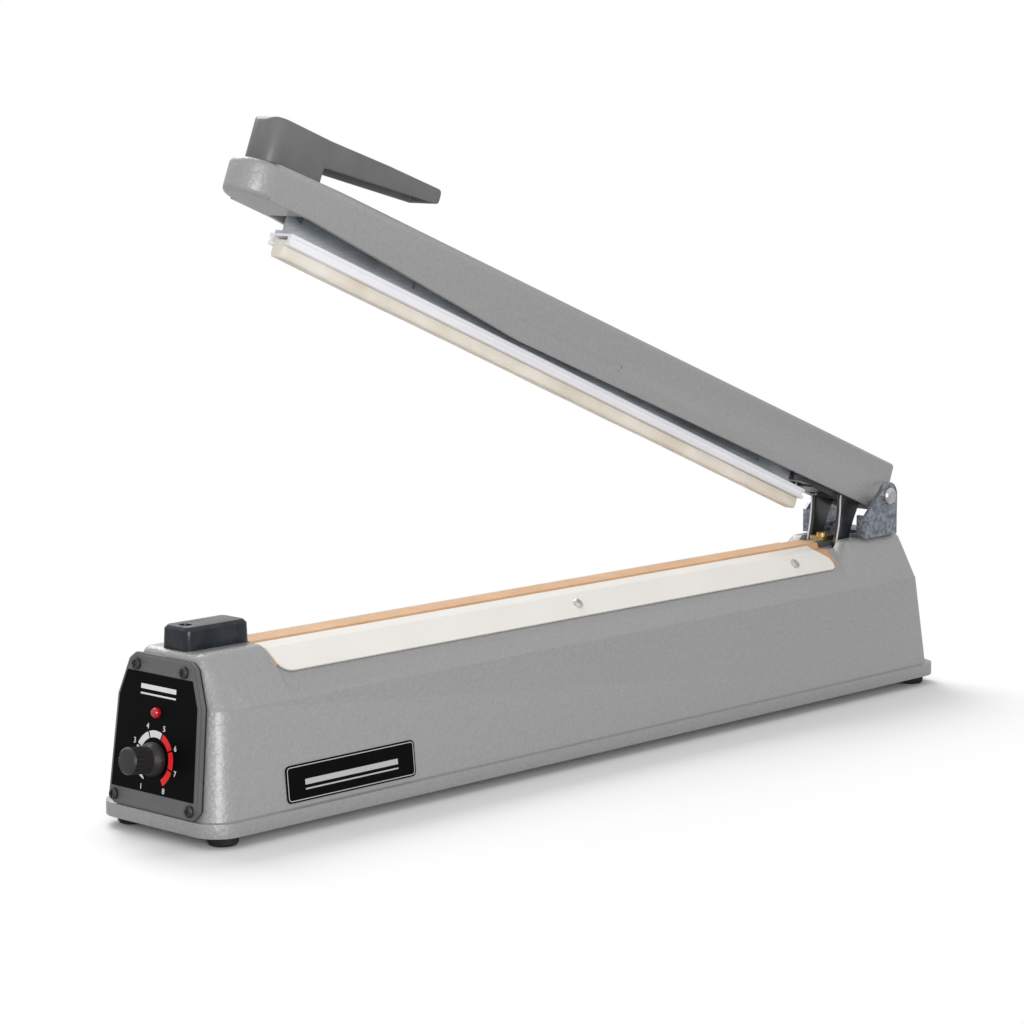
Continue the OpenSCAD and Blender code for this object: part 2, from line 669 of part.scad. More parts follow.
// Clamp plate: one bend, a wide facet on the slope and a narrow lip towards the bed.
plate_lift = cover_t + 0.15;
plate_x0 = front_x1 + 1;
plate_x1 = bed_x1 - 1;
plate_cut = 8;
function turn(a, p) = [p.x * cos(a) - p.y * sin(a), p.x * sin(a) + p.y * cos(a)];
module plate_section() {
    bend = ridge_slope - plate_lip_lean;
    out = plate_lift + plate_t;
    miter = plate_t * tan(bend / 2);
    lip_out = turn(bend, [-plate_lip, 0]);
    lip_in = turn(bend, [-plate_lip, -plate_t]);
    polygon([[0, out], [plate_face, out], [plate_face, plate_lift],
        [miter, plate_lift], [lip_in.x, out + lip_in.y], [lip_out.x, out + lip_out.y]]);
}
module plate_outline() {
    steps = 8;
    r0 = 8;
    r1 = 3.5;
    polygon(concat(
        [[plate_x1 - 1, 7], [plate_x1 - 3, 4.5], [plate_x1 - 8, 0], [plate_x1 - 9.5, -plate_lip - 2],
            [plate_x0, -plate_lip - 2], [plate_x0, -plate_lip + 1],
            [plate_x0 + 2.5, 0]],
        [for (i = [0:steps]) [plate_x0 + 3.5 + r0 - r0 * cos(i * 90 / steps),
            plate_face - r0 + r0 * sin(i * 90 / steps)]],
        [for (i = [0:steps]) [plate_x1 - 1 - r1 + r1 * sin(i * 90 / steps),
            plate_face - r1 + r1 * cos(i * 90 / steps)]]));
}
module clamp_plate() {
    on_slope() difference() {
        intersection() {
            translate([plate_x0 - 1, 0, 0]) rotate([90, 0, 90]) linear_extrude(plate_x1 - plate_x0 + 2)
                plate_section();
            translate([0, 0, -8]) linear_extrude(20) plate_outline();
        }
        for (x = plate_screw_x) translate([x, plate_screw_v, -1]) cylinder(d = 3.4, h = 6);
    }
}
module clamp_plate_near() { machine() color([0.9, 0.9, 0.88]) clamp_plate(); }
module clamp_plate_far() { machine() color([0.9, 0.9, 0.88]) mirror([0, 1, 0]) clamp_plate(); }
module clamp_plate_screws() {
    machine() color([0.8, 0.8, 0.78]) at_plate_screws() translate([0, 0, plate_lift + plate_t])
        screw(3, 8, 5.6, 1.5);
}

// Transformer: stacked iron core standing on the bottom plate, coil round its middle limb, and a
// steel strap with two feet over the top.
core_x = 246;
limb = core_l / 3;
strap_t = 0.8;
strap_w = 24;
strap_foot = 12;
coil_w = core_w + 18;
module at_strap_feet() {
    for (s = [-1, 1]) translate([core_x + s * (core_l / 2 + strap_t + strap_foot / 2), 0, lid_z])
        children();
}
module transformer_core() {
    machine() color([0.32, 0.33, 0.35]) translate([core_x, 0, lid_z]) along_y(core_w) difference() {
        translate([-core_l / 2, 0]) square([core_l, core_h]);
        for (s = [-1, 1]) translate([s * limb * 0.75 - limb / 4, limb / 2])
            square([limb / 2, core_h - limb]);
    }
}
module transformer_coil() {
    half = limb - seat;
    machine() color([0.75, 0.6, 0.2]) translate([core_x, 0, lid_z + limb / 2 + seat])
        linear_extrude(core_h - limb - 2 * seat) difference() {
            plan_rect(-half, half, coil_w, 5);
            translate([-limb / 2 - 0.1, -core_w / 2 - 0.1]) square([limb + 0.2, core_w + 0.2]);
        }
}
module transformer_frame() {
    machine() color([0.72, 0.73, 0.75]) difference() {
        translate([core_x, 0, lid_z]) along_y(strap_w) {
            translate([-core_l / 2 - strap_t, core_h]) square([core_l + 2 * strap_t, strap_t]);
            for (s = [-1, 1]) {
                translate([s * (core_l + strap_t) / 2 - strap_t / 2, 0])
                    square([strap_t, core_h + strap_t]);
                translate([s * (core_l / 2 + strap_t + strap_foot / 2) - strap_foot / 2 - 0.1, 0])
                    square([strap_foot + 0.2, strap_t]);
            }
        }
        at_strap_feet() screw_hole(3, 9);
    }
}
module transformer_screws() {
    machine() color([0.8, 0.8, 0.82]) at_strap_feet() translate([0, 0, strap_t])
        screw(3, 3.4, 6, 1.8);
}

board_x0 = 36;
pillar_h = 9;
board_t = 1.6;
board_top = lid_z + pillar_h + board_t;
module at_pillars() {
    for (x = [board_x0 + 5, board_x0 + board_l - 5], s = [-1, 1])
        translate([x, s * (board_w / 2 - 5), lid_z]) children();
}
module board_pillars() {
    machine() color([0.85, 0.83, 0.75]) at_pillars() difference() {
        cylinder(d = 6, h = pillar_h);
        translate([0, 0, -1]) cylinder(d = 3 + 2 * screw_fit, h = pillar_h + 2);
    }
}
module timer_board() {
    machine() color([0.1, 0.4, 0.2]) difference() {
        translate([board_x0, -board_w / 2, lid_z + pillar_h]) cube([board_l, board_w, board_t]);
        at_pillars() cylinder(d = 3 + 2 * screw_fit, h = pillar_h + 9);
    }
}
module board_screws() {
    machine() color([0.8, 0.8, 0.82]) at_pillars() translate([0, 0, pillar_h + board_t])
        screw(3, pillar_h + board_t + 2, 5.6, 1.8);
}
module timer_relay() {
    machine() color([0.15, 0.3, 0.6]) translate([board_x0 + 38, -10, board_top]) cube([19, 15.5, 15]);
}
module timer_capacitor() {
    machine() color([0.1, 0.1, 0.25]) translate([board_x0 + 22, 0, board_top]) {
        cylinder(d = 12, h = 20);
        cylinder(d = 12.6, h = 1);
    }
}

// The switch stands behind the closed position of the fork's cross pin.
cross_s = 16;
cross_h = 46;
cross_d = 4;
switch_w = 10;
switch_l = 16;
switch_tall = 28;
plunger_d = 3;
plunger_out = 3;
switch_x0 = pin_x - cross_s + cross_d / 2 + seat + plunger_out;
plunger_z = pin_z - cross_h;
switch_z0 = plunger_z - switch_tall * 0.6;
bracket_t = 1.5;
bracket_foot = 14;
module at_bracket_foot() {
    translate([switch_x0 + 10, switch_w / 2 + bracket_foot - 5, 0]) children();
}
module at_switch_holes() {
    for (z = [4, switch_tall - 6]) translate([switch_x0 + 10, 0, switch_z0 + z]) rotate([90, 0, 0])
        children();
}
module micro_switch() {
    machine() color([0.12, 0.12, 0.13]) difference() {
        translate([switch_x0, -switch_w / 2, switch_z0]) cube([switch_l, switch_w, switch_tall]);
        at_switch_holes() cylinder(d = 3 + 2 * screw_fit, h = 30, center = true);
        translate([switch_x0 - 1, 0, plunger_z]) rotate([0, 90, 0])
            cylinder(d = plunger_d + 2 * run_fit, h = 7);
        translate([switch_x0 + switch_l - 2, -switch_w / 2 - 1, switch_z0 - 1]) cube([3, 3, 9]);
    }
}
module switch_plunger() {
    machine() color([0.85, 0.1, 0.1]) translate([switch_x0 - plunger_out, 0, plunger_z])
        rotate([0, 90, 0]) {
            cylinder(d1 = plunger_d - 0.8, d2 = plunger_d, h = 0.6);
            translate([0, 0, 0.6]) cylinder(d = plunger_d, h = plunger_out + 3);
        }
}
module switch_bracket() {
    machine() color([0.72, 0.73, 0.75]) difference() {
        union() {
            translate([switch_x0 + 4, switch_w / 2, lid_z])
                cube([12, bracket_t, switch_z0 + switch_tall - lid_z]);
            translate([switch_x0 + 4, switch_w / 2, lid_z]) cube([12, bracket_foot, bracket_t]);
        }
        at_switch_holes() cylinder(d = 3 + 2 * screw_fit, h = 40, center = true);
        at_bracket_foot() cylinder(d = 3 + 2 * screw_fit, h = 20);
    }
}
module switch_screws() {
    machine() color([0.8, 0.8, 0.82]) {
        at_switch_holes() translate([0, 0, switch_w / 2]) screw(3, switch_w + bracket_t + 2, 5.4, 1.8);
        at_bracket_foot() translate([0, 0, lid_z + bracket_t]) screw(3, bracket_t + 2.6, 5.4, 1.8);
    }
}

function arm_at(s, h) = [pin_x - s * cos(open_angle) + h * sin(open_angle),
    pin_z + s * sin(open_angle) + h * cos(open_angle)];
cross_rest = arm_at(cross_s, -cross_h);
post_d = 4;
module spring_post() {
    machine() color([0.8, 0.8, 0.82]) translate([spring_post_x, 0, 0]) {
        translate([0, 0, cross_rest.y - 4]) cylinder(d = post_d, h = roof_z + 2 - cross_rest.y + 4);
        translate([0, 0, cross_rest.y - 6]) cylinder(d = post_d + 3, h = 2);
    }
}
module hook(d) {
    difference() {
        cylinder(d = d + 2 * wire_d + 0.2, h = wire_d, center = true);
        cylinder(d = d + 0.2, h = wire_d + 1, center = true);
    }
}
module return_spring() {
    lead = 6;
    span = cross_rest.x - spring_post_x - 2 * lead;
    machine() color([0.7, 0.7, 0.72]) translate([spring_post_x, 0, cross_rest.y]) {
        hook(post_d);
        translate([cross_rest.x - spring_post_x, 0, 0]) rotate([90, 0, 0]) hook(cross_d);
        translate([lead, 0, 0]) rotate([0, 90, 0]) cylinder(d = spring_d, h = span);
        for (x = [post_d / 2 + wire_d / 2, cross_rest.x - spring_post_x - lead - 0.5])
            translate([x, 0, 0]) rotate([0, 90, 0])
                cylinder(d = wire_d, h = lead + 0.5 - post_d / 2 - wire_d / 2);
    }
}

grommet_neck = wall + 0.8;
grommet_l = grommet_neck + 5;
module mains_grommet() {
    machine() color([0.08, 0.08, 0.08]) on_hinge_end() translate([0, 0, grommet_up])
        rotate([0, 90, 0]) difference() {
            union() {
                cylinder(r = grommet_r + 4.2, h = 2);
                translate([0, 0, 2]) cylinder(r1 = grommet_r + 4.2, r2 = grommet_r + 3, h = 1);
                translate([0, 0, -grommet_neck])
                    cylinder(r = grommet_r + 2.4 - screw_fit, h = grommet_neck + 0.2);
                translate([0, 0, -grommet_neck - 2]) cylinder(r = grommet_r + 3.9, h = 2);
            }
            translate([0, 0, -grommet_neck - 3]) cylinder(r = grommet_r, h = grommet_l + 3);
        }
}

// Hinge bracket: a folded sheet steel saddle, open in the middle for the two legs of the fork.
bracket_sheet = 2;
bracket_x0 = pin_x - 21;
bracket_x1 = pin_x + 7.6;
ear_y = 22;
bracket_notch = 25;
ear_r = 7.6;
module ear_outline() {
    translate([pin_x, pin_z]) circle(ear_r);
    polygon([[bracket_x0, block_z], [bracket_x0, block_z + 12.5],
        [pin_x - ear_r * 0.87, pin_z + ear_r * 0.5], [pin_x, pin_z],
        [pin_x + ear_r, pin_z], [bracket_x1, block_z]]);
}
module hinge_bracket() {
    machine() color([0.8, 0.81, 0.83]) difference() {
        union() {
            translate([bracket_x0, -ear_y, block_z])
                cube([bracket_x1 - bracket_x0, 2 * ear_y, bracket_sheet]);
            both_sides() translate([0, -ear_y + bracket_sheet / 2, 0])
                along_y(bracket_sheet) ear_outline();
            both_sides() translate([bracket_x0, -ear_y, block_z]) cube([bracket_sheet, 6.5, 12.5]);
        }
        translate([bracket_x0 - 1, -bracket_notch / 2, block_z - 1])
            cube([slot_x1 - bracket_x0 + 1, bracket_notch, 5]);
        translate([0, 0, block_z]) at_bracket_screws() screw_hole(4, 9);
        translate([0, 0, block_z]) at_bracket_screws() cylinder(d = 4.1, h = 9);
        translate([pin_x, 0, pin_z]) rotate([90, 0, 0])
            cylinder(d = pin_d + 2 * screw_fit, h = 80, center = true);
    }
}
module hinge_bracket_screws() {
    machine() color([0.7, 0.7, 0.7]) translate([0, 0, block_z + bracket_sheet])
        at_bracket_screws() screw(4, 10, 6.6, 2.2);
}
pin_head = 2.5;
pin_groove = 1.2;
module hinge_pin() {
    machine() color([0.85, 0.84, 0.8]) translate([pin_x, -ear_y, pin_z]) rotate([-90, 0, 0])
        difference() {
            union() {
                translate([0, 0, -pin_head * 0.5]) cylinder(d = pin_d + 3.4, h = pin_head * 0.5);
                translate([0, 0, -pin_head])
                    cylinder(d1 = pin_d + 0.6, d2 = pin_d + 3.4, h = pin_head * 0.5);
                cylinder(d = pin_d, h = 2 * ear_y + 4);
            }
            translate([0, 0, 2 * ear_y + 0.5]) difference() {
                cylinder(d = pin_d + 2, h = pin_groove);
                translate([0, 0, -1]) cylinder(d = pin_d - 1.6, h = pin_groove + 2);
            }
        }
}
module hinge_pin_clip() {
    machine() color([0.35, 0.35, 0.36]) translate([pin_x, ear_y + 0.6, pin_z]) rotate([-90, 0, 0])
        linear_extrude(pin_groove - 0.2) difference() {
            circle(d = pin_d + 5);
            circle(d = pin_d - 1.6 + 2 * screw_fit);
            translate([0, -pin_d / 2 + 1.2]) square([pin_d + 4, pin_d - 2.4]);
        }
}

// Arm: an open U casting with rounded top edges, closed and rounded at the nose, and with a
// lower edge that rises towards the nose.
arm_edge = 2.5;
arm_in = arm_w - 2 * arm_wall;
rise_s1 = arm_l - 40.5;
rise_s0 = rise_s1 - rise_l;
arm_boss_d = 15;
boss_y = ear_y - bracket_sheet - 0.4;
fork_boss_h = 5;
fork_screw_s = [36, 55];
stem_s1 = arm_l - handle_set;
stem_s0 = stem_s1 - stem_l;
fall_s = 440;
function arm_line(s) = arm_top - (s < fall_s ? top_fall * s / fall_s
    : top_fall + nose_fall * (s - fall_s) / (arm_l - fall_s));
handle_screw_s = stem_s0 + 3.5;
module at_handle_screws() {
    for (s = [-1, 1]) translate([-handle_screw_s, s * 5.5, arm_line(handle_screw_s + 6) - arm_wall])
        children();
}
module arm_side(inset) {
    polygon([[-arm_l + inset, arm_line(arm_l) - inset], [-fall_s, arm_line(fall_s) - inset],
        [arm_back - inset, arm_top - inset],
        [arm_back - inset, 0], [0, 0], [0, -arm_drop + (inset > 0 ? -1 : 0)],
        [-rise_s0, -arm_drop + (inset > 0 ? -1 : 0)], [-rise_s1, nose_rise - (inset > 0 ? 1 : 0)],
        [-arm_l + inset, nose_rise - (inset > 0 ? 1 : 0)]]);
    circle(r = arm_back - inset);
}
module arm_block() {
    nose_r = arm_w / 2;
    low = nose_rise + nose_edge;
    high = arm_line(arm_l - 6) - nose_edge;
    translate([nose_r - arm_l, -nose_r, -30]) cube([arm_l - nose_r + arm_back, arm_w, 80]);
    translate([nose_r - arm_l, 0, 0]) rotate_extrude() {
        translate([0, nose_rise]) square([nose_r - nose_edge, high - low + 2 * nose_edge]);
        translate([0, low]) square([nose_r, high - low]);
        for (h = [low, high]) translate([nose_r - nose_edge, h]) circle(nose_edge);
    }
}
module arm_casting() {
    machine() color([0.62, 0.62, 0.62]) in_arm() difference() {
        union() {
            difference() {
                intersection() {
                    along_y(arm_w) arm_side(0);
                    arm_block();
                    translate([0, 0, 0.02]) rotate([0, -atan2(top_fall, fall_s), 0])
                        along_x(-arm_l - 1, arm_back + 1) {
                        translate([-arm_w / 2, -30]) square([arm_w, 30 + arm_top - arm_edge]);
                        translate([arm_edge - arm_w / 2, 0]) square([arm_w - 2 * arm_edge, arm_top]);
                        for (s = [-1, 1]) translate([s * (arm_w / 2 - arm_edge), arm_top - arm_edge])
                            circle(arm_edge, $fn = 32);
                    }
                }
                intersection() {
                    along_y(arm_in) arm_side(arm_wall);
                    translate([nose_l - arm_l, -arm_w, -30]) cube([arm_l, 2 * arm_w, 80]);
                }
            }
            both_sides() translate([0, -boss_y, 0]) rotate([-90, 0, 0])
                cylinder(d = arm_boss_d, h = boss_y - arm_in / 2);
            for (s = fork_screw_s) translate([-s, 0, arm_top - arm_wall - fork_boss_h])
                cylinder(d = 8, h = fork_boss_h + 1);
        }
        rotate([90, 0, 0]) cylinder(d = pin_d + 2 * run_fit, h = 80, center = true);
        translate([-pivot_s, 0, pivot_h]) rotate([90, 0, 0])
            cylinder(d = 4 + 2 * screw_fit, h = 60, center = true);
        for (s = fork_screw_s) translate([-s, 0, 0]) cylinder(d = 4 + 2 * screw_fit, h = arm_top - 1.2);
        at_handle_screws() cylinder(d = 3 + 2 * screw_fit, h = 20, center = true);
    }
}

// Handle: a moulded hook on the nose. The stem is solid outside and the finger bar runs back over
// the arm; both are hollow from below.
grip_z0 = arm_line(stem_s0) + finger_gap;
grip_rise = 8.9;
grip_t1 = 7.3;
handle_top = arm_line(stem_s0) + handle_h;
grip_end = stem_s0 - finger_l;
grip_mid = (stem_s0 + grip_end) / 2;
module handle_side() {
    front_r = 4;
    polygon([[-stem_s0, arm_line(stem_s0)], [-stem_s0, grip_z0],
        [-grip_end - grip_t1 / 2, grip_z0 + grip_rise],
        [-grip_end - grip_t1 / 2, grip_z0 + grip_rise + grip_t1],
        [-grip_mid, handle_top + 2.7], [-stem_s0, handle_top + 0.6],
        [-stem_s1 + front_r, handle_top + 0.3], [-stem_s1, handle_top + 0.3 - front_r],
        [-stem_s1, arm_line(stem_s1)]]);
    translate([-grip_end - grip_t1 / 2, grip_z0 + grip_rise + grip_t1 / 2]) circle(d = grip_t1);
    translate([-stem_s1 + front_r, handle_top + 0.3 - front_r]) circle(front_r);
}
module handle_plan() {
    front_r = 9;
    back_r = 4;
    translate([front_r - stem_s1, -handle_w / 2])
        square([stem_s1 - front_r - back_r - grip_end, handle_w]);
    translate([-stem_s1, front_r - handle_w / 2]) square([front_r + 1, handle_w - 2 * front_r]);
    translate([-grip_end - back_r - 1, back_r - handle_w / 2])
        square([back_r + 1, handle_w - 2 * back_r]);
    for (s = [-1, 1]) {
        translate([front_r - stem_s1, s * (handle_w / 2 - front_r)]) circle(front_r);
        translate([-grip_end - back_r, s * (handle_w / 2 - back_r)]) circle(back_r);
    }
}
module handle() {
    machine() color([0.42, 0.42, 0.42]) in_arm() difference() {
        intersection() {
            along_y(handle_w) handle_side();
            linear_extrude(60) handle_plan();
        }
        along_y(handle_w - 5) polygon([[-stem_s0 + 3, grip_z0 - 2],
            [-grip_end - 4.5, grip_z0 + grip_rise - 2],
            [-grip_end - 4.5, grip_z0 + grip_rise + 4], [-grip_mid, handle_top - 1],
            [-stem_s0 + 3, handle_top - 2.2]]);
        at_handle_screws() cylinder(d = 3 + 2 * screw_fit, h = 14);
    }
}
module handle_screws() {
    machine() color([0.75, 0.75, 0.75]) in_arm() at_handle_screws() rotate([180, 0, 0])
        screw(3, 13, 5.6, 1.8);
}

// Lever fork: a root screwed up into the arm, with two legs that reach down into the base.
leg_t = 3;
leg_y = slot_y - 0.2;
root_s0 = 28;
root_s1 = 63;
root_w = 19;
root_low = 10.2;
root_step = 53;
root_top = arm_top - arm_wall - fork_boss_h;
module leg_outline() {
    polygon([[-8.5, root_top - 4], [-10.2, -9], [-11.6, -18], [-12, -25], [-12, -36],
        [-cross_s + 4, -cross_h],
        [-cross_s - 4, -cross_h], [-21, -36], [-22.5, -25], [-24.5, -17], [-27, -10], [-30, root_top - 4]]);
    translate([-cross_s, -cross_h]) circle(4);
}
module lever_fork() {
    machine() color([0.17, 0.17, 0.17]) in_arm() difference() {
        union() {
            both_sides() translate([0, leg_y, 0]) along_y(leg_t) leg_outline();
            translate([-root_step, -root_w / 2, -11]) cube([root_step - root_s0, root_w, root_top + 11]);
            translate([-root_s0 - 1, -leg_y, -10]) cube([4, 2 * leg_y, root_top + 4]);
            translate([-root_s1, -root_w / 2, -root_low])
                cube([root_s1 - root_step + 1, root_w, root_top + root_low]);
        }
        translate([-cross_s, 0, -cross_h]) rotate([90, 0, 0])
            cylinder(d = cross_d + 2 * screw_fit, h = 60, center = true);
        for (s = fork_screw_s) translate([-s, 0, -30]) {
            cylinder(d = 4 + 2 * screw_fit, h = 80);
            cylinder(d = 7.4, h = 24);
        }
    }
}
module fork_screws() {
    machine() color([0.3, 0.3, 0.3]) in_arm() for (s = fork_screw_s)
        translate([-s, 0, -6]) rotate([180, 0, 0]) screw(4, arm_top + 3, 7, 2.4);
}
module fork_cross_pin() {
    machine() color([0.75, 0.75, 0.75]) in_arm() translate([-cross_s, 0, -cross_h])
        rotate([90, 0, 0]) cylinder(d = cross_d, h = 2 * leg_y + leg_t + 1.2, center = true);
}

// Press bar: sheet folded to an angle, with the rubber's holder screwed under its foot.
bar_top = bar_foot + bar_h;
bar_near = -1.5;
slit_s = [95, 377];
module press_bar() {
    machine() color([0.7, 0.72, 0.75]) in_bar() difference() {
        along_x(-bar_far, -bar_start) {
            translate([bar_near, bar_foot]) square([bar_t, bar_h]);
            translate([bar_near, bar_foot]) square([bar_w, bar_t]);
        }
        translate([-bar_far, 0, bar_top]) rotate([0, 20, 0]) cube([24, 20, 16], center = true);
        for (s = slit_s) translate([-s - 0.7, -bar_w, bar_foot + 4]) cube([1.4, 2 * bar_w, bar_h - 8]);
        translate([-pivot_s, 0, pivot_h]) rotate([90, 0, 0])
            cylinder(d = 4 + 2 * run_fit, h = 60, center = true);
        at_holder_screws() cylinder(d = 2.5 + 2 * screw_fit, h = 20, center = true);
    }
}
module at_holder_screws() {
    for (i = [0:3])
        translate([-bar_start - 20 - i * (bar_l - 40) / 3, bar_near + bar_w / 2, bar_foot]) children();
}
module bar_pivot_pin() {
    machine() color([0.75, 0.75, 0.75]) in_arm() translate([-pivot_s, 0, pivot_h])
        rotate([90, 0, 0]) cylinder(d = 4, h = arm_w + 1, center = true);
}
holder_roof = 1.2;
holder_lip = 1.2;
holder_mouth = 6.2;
module rubber_holder() {
    machine() color([0.9, 0.9, 0.88]) in_bar() difference() {
        along_x(-bar_far, holder_over - bar_start) difference() {
            translate([-holder_w / 2, holder_foot]) square([holder_w, holder_h]);
            translate([-strip_w / 2 - 1.2, holder_foot + holder_lip])
                square([strip_w + 2.4, holder_h - holder_roof - holder_lip]);
            translate([-holder_mouth / 2, holder_foot - 1]) square([holder_mouth, 4]);
            for (s = [-1, 1]) translate([s * holder_w / 2 - 1, holder_foot + 1.6])
                square([2, holder_h - 3.2]);
        }
        at_holder_screws() cylinder(d = 2.5 + 2 * screw_fit, h = 4, center = true);
    }
}
module silicone_strip() {
    strip_edge = 2;
    machine() color([0.88, 0.84, 0.76]) in_bar() along_x(-bar_far, holder_over - bar_start) {
        translate([-strip_w / 2, strip_foot + strip_edge]) square([strip_w, strip_h - strip_edge]);
        translate([strip_edge - strip_w / 2, strip_foot]) square([strip_w - 2 * strip_edge, strip_h]);
        for (s = [-1, 1]) translate([s * (strip_w / 2 - strip_edge), strip_foot + strip_edge])
            circle(strip_edge, $fn = 24);
        translate([-holder_mouth / 2 + 0.1, strip_foot]) square([holder_mouth - 0.2, strip_h + 2]);
        translate([-strip_w / 2 - 0.9, holder_foot + holder_lip]) square([strip_w + 1.8, 1.4]);
    }
}
module holder_screws() {
    machine() color([0.8, 0.8, 0.8]) in_bar() translate([0, 0, -holder_roof])
        at_holder_screws() rotate([180, 0, 0]) screw(2.5, holder_roof + bar_t + 1, 4.6, 1.1);
}

base_casting();
bottom_plate();
bottom_plate_screws();
rubber_feet();
feet_screws();
panel_gasket();
front_bezel();
panel_label();
panel_screws();
indicator_lamp();
lamp_body();
timer_potentiometer();
potentiometer_nut();
potentiometer_shaft();
timer_knob();
terminal_cover();
terminal_cover_screw();
terminal_pads();
front_terminal();
rear_terminal();
side_badge();
sealing_bed();
glass_cloth();
heating_ribbon();
ptfe_cover();
clamp_plate_near();
clamp_plate_far();
clamp_plate_screws();
transformer_core();
transformer_coil();
transformer_frame();
transformer_screws();
timer_board();
board_pillars();
board_screws();
timer_relay();
timer_capacitor();
micro_switch();
switch_plunger();
switch_bracket();
switch_screws();
return_spring();
spring_post();
mains_grommet();
hinge_bracket();
hinge_bracket_screws();
hinge_pin();
hinge_pin_clip();
arm_casting();
handle();
handle_screws();
lever_fork();
fork_screws();
fork_cross_pin();
press_bar();
bar_pivot_pin();
rubber_holder();
silicone_strip();
holder_screws();
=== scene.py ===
import json
from math import atan2, cos, pi, radians, sin, tan

import bpy
from mathutils import Matrix, Vector


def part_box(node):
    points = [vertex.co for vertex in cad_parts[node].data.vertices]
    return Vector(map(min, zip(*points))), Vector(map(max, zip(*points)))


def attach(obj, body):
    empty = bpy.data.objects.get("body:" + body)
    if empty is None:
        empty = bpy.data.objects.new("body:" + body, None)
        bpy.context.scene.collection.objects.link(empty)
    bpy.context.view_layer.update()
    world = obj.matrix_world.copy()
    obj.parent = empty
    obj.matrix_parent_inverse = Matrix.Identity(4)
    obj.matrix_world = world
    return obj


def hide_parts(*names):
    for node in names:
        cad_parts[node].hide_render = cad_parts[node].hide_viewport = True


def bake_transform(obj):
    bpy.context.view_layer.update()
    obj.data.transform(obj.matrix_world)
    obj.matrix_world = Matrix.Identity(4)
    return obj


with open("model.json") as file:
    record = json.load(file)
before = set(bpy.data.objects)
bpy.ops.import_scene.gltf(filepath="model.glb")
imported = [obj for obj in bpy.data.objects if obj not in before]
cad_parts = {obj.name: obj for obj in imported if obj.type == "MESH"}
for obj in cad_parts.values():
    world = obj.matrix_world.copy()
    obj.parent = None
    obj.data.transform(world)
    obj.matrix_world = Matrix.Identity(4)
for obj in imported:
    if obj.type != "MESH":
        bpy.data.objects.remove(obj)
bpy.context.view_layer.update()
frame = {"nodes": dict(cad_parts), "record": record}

bpy.context.scene.view_settings.view_transform = "Standard"

sight = Vector((0.7198, 0.6801, -0.1393))
lens = bpy.data.cameras.new("long_lens")
lens.lens = 109.8
lens.sensor_width = 36
lens.clip_end = 50
camera = bpy.data.objects.new("camera", lens)
bpy.context.collection.objects.link(camera)
camera.location = (-1.1456, -1.0551, 0.3398)
camera.rotation_euler = sight.to_track_quat("-Z", "Y").to_euler()
bpy.context.scene.camera = camera


class Wire:
    """An output socket that takes part in arithmetic; each sign adds a Math node."""

    def __init__(self, owner, socket):
        self.owner, self.socket = owner, socket

    def _math(self, operation, first, second):
        return self.owner.node("ShaderNodeMath", {"operation": operation}, {0: first, 1: second})

    def __add__(self, other):
        return self._math("ADD", self, other)

    __radd__ = __add__

    def __sub__(self, other):
        return self._math("SUBTRACT", self, other)

    def __rsub__(self, other):
        return self._math("SUBTRACT", other, self)

    def __mul__(self, other):
        return self._math("MULTIPLY", self, other)

    __rmul__ = __mul__

    def __lt__(self, other):
        return self._math("LESS_THAN", self, other)

    def __gt__(self, other):
        return self._math("GREATER_THAN", self, other)


class Tree:
    """A node tree under construction, with one method for every kind of node."""

    def __init__(self, tree):
        self.tree = tree

    def node(self, kind, settings=None, sockets=None, out=0):
        made = self.tree.nodes.new(kind)
        for name, value in (settings or {}).items():
            setattr(made, name, value)
        self.join(made, sockets or {})
        return Wire(self, made.outputs[out])

    def join(self, made, sockets):
        for name, value in sockets.items():
            socket = made.inputs[name]
            if isinstance(value, Wire):
                self.tree.links.new(value.socket, socket)
            else:
                socket.default_value = value


class Look(Tree):
    """A material under construction, on one principled shader."""

    def __init__(self, name, **finish):
        self.material = bpy.data.materials.new(name)
        self.material.use_nodes = True
        super().__init__(self.material.node_tree)
        self.shader = self.tree.nodes["Principled BSDF"]
        self.place = self.node("ShaderNodeTexCoord", out="Object")
        self.set(**finish)

    def set(self, **finish):
        self.join(self.shader, {name.replace("_", " "): value for name, value in finish.items()})

    def scaled(self, x, y, z):
        return self.node("ShaderNodeMapping", {}, {"Vector": self.place, "Scale": (x, y, z)})

    def noise(self, at, size, detail=2.0, rough=0.5):
        sockets = {"Vector": at, "Scale": size, "Detail": detail, "Roughness": rough}
        return self.node("ShaderNodeTexNoise", {}, sockets)

    def mixed(self, share, first, second):
        sockets = {0: share, 6: first, 7: second}
        return self.node("ShaderNodeMix", {"data_type": "RGBA"}, sockets, out=2)

    def bump(self, height, depth, strength):
        sockets = {"Height": height, "Distance": depth, "Strength": strength}
        return self.node("ShaderNodeBump", {}, sockets)

    def band(self, value, low, high):
        """0 below low, 1 above high, and straight in between."""
        sockets = {"Value": value, 1: low, 2: high, 3: 0.0, 4: 1.0}
        return self.node("ShaderNodeMapRange", {"clamp": True}, sockets)


def grey(level, blue=0.0):
    return (level, level * (1 + 0.4 * blue), level * (1 + blue), 1)


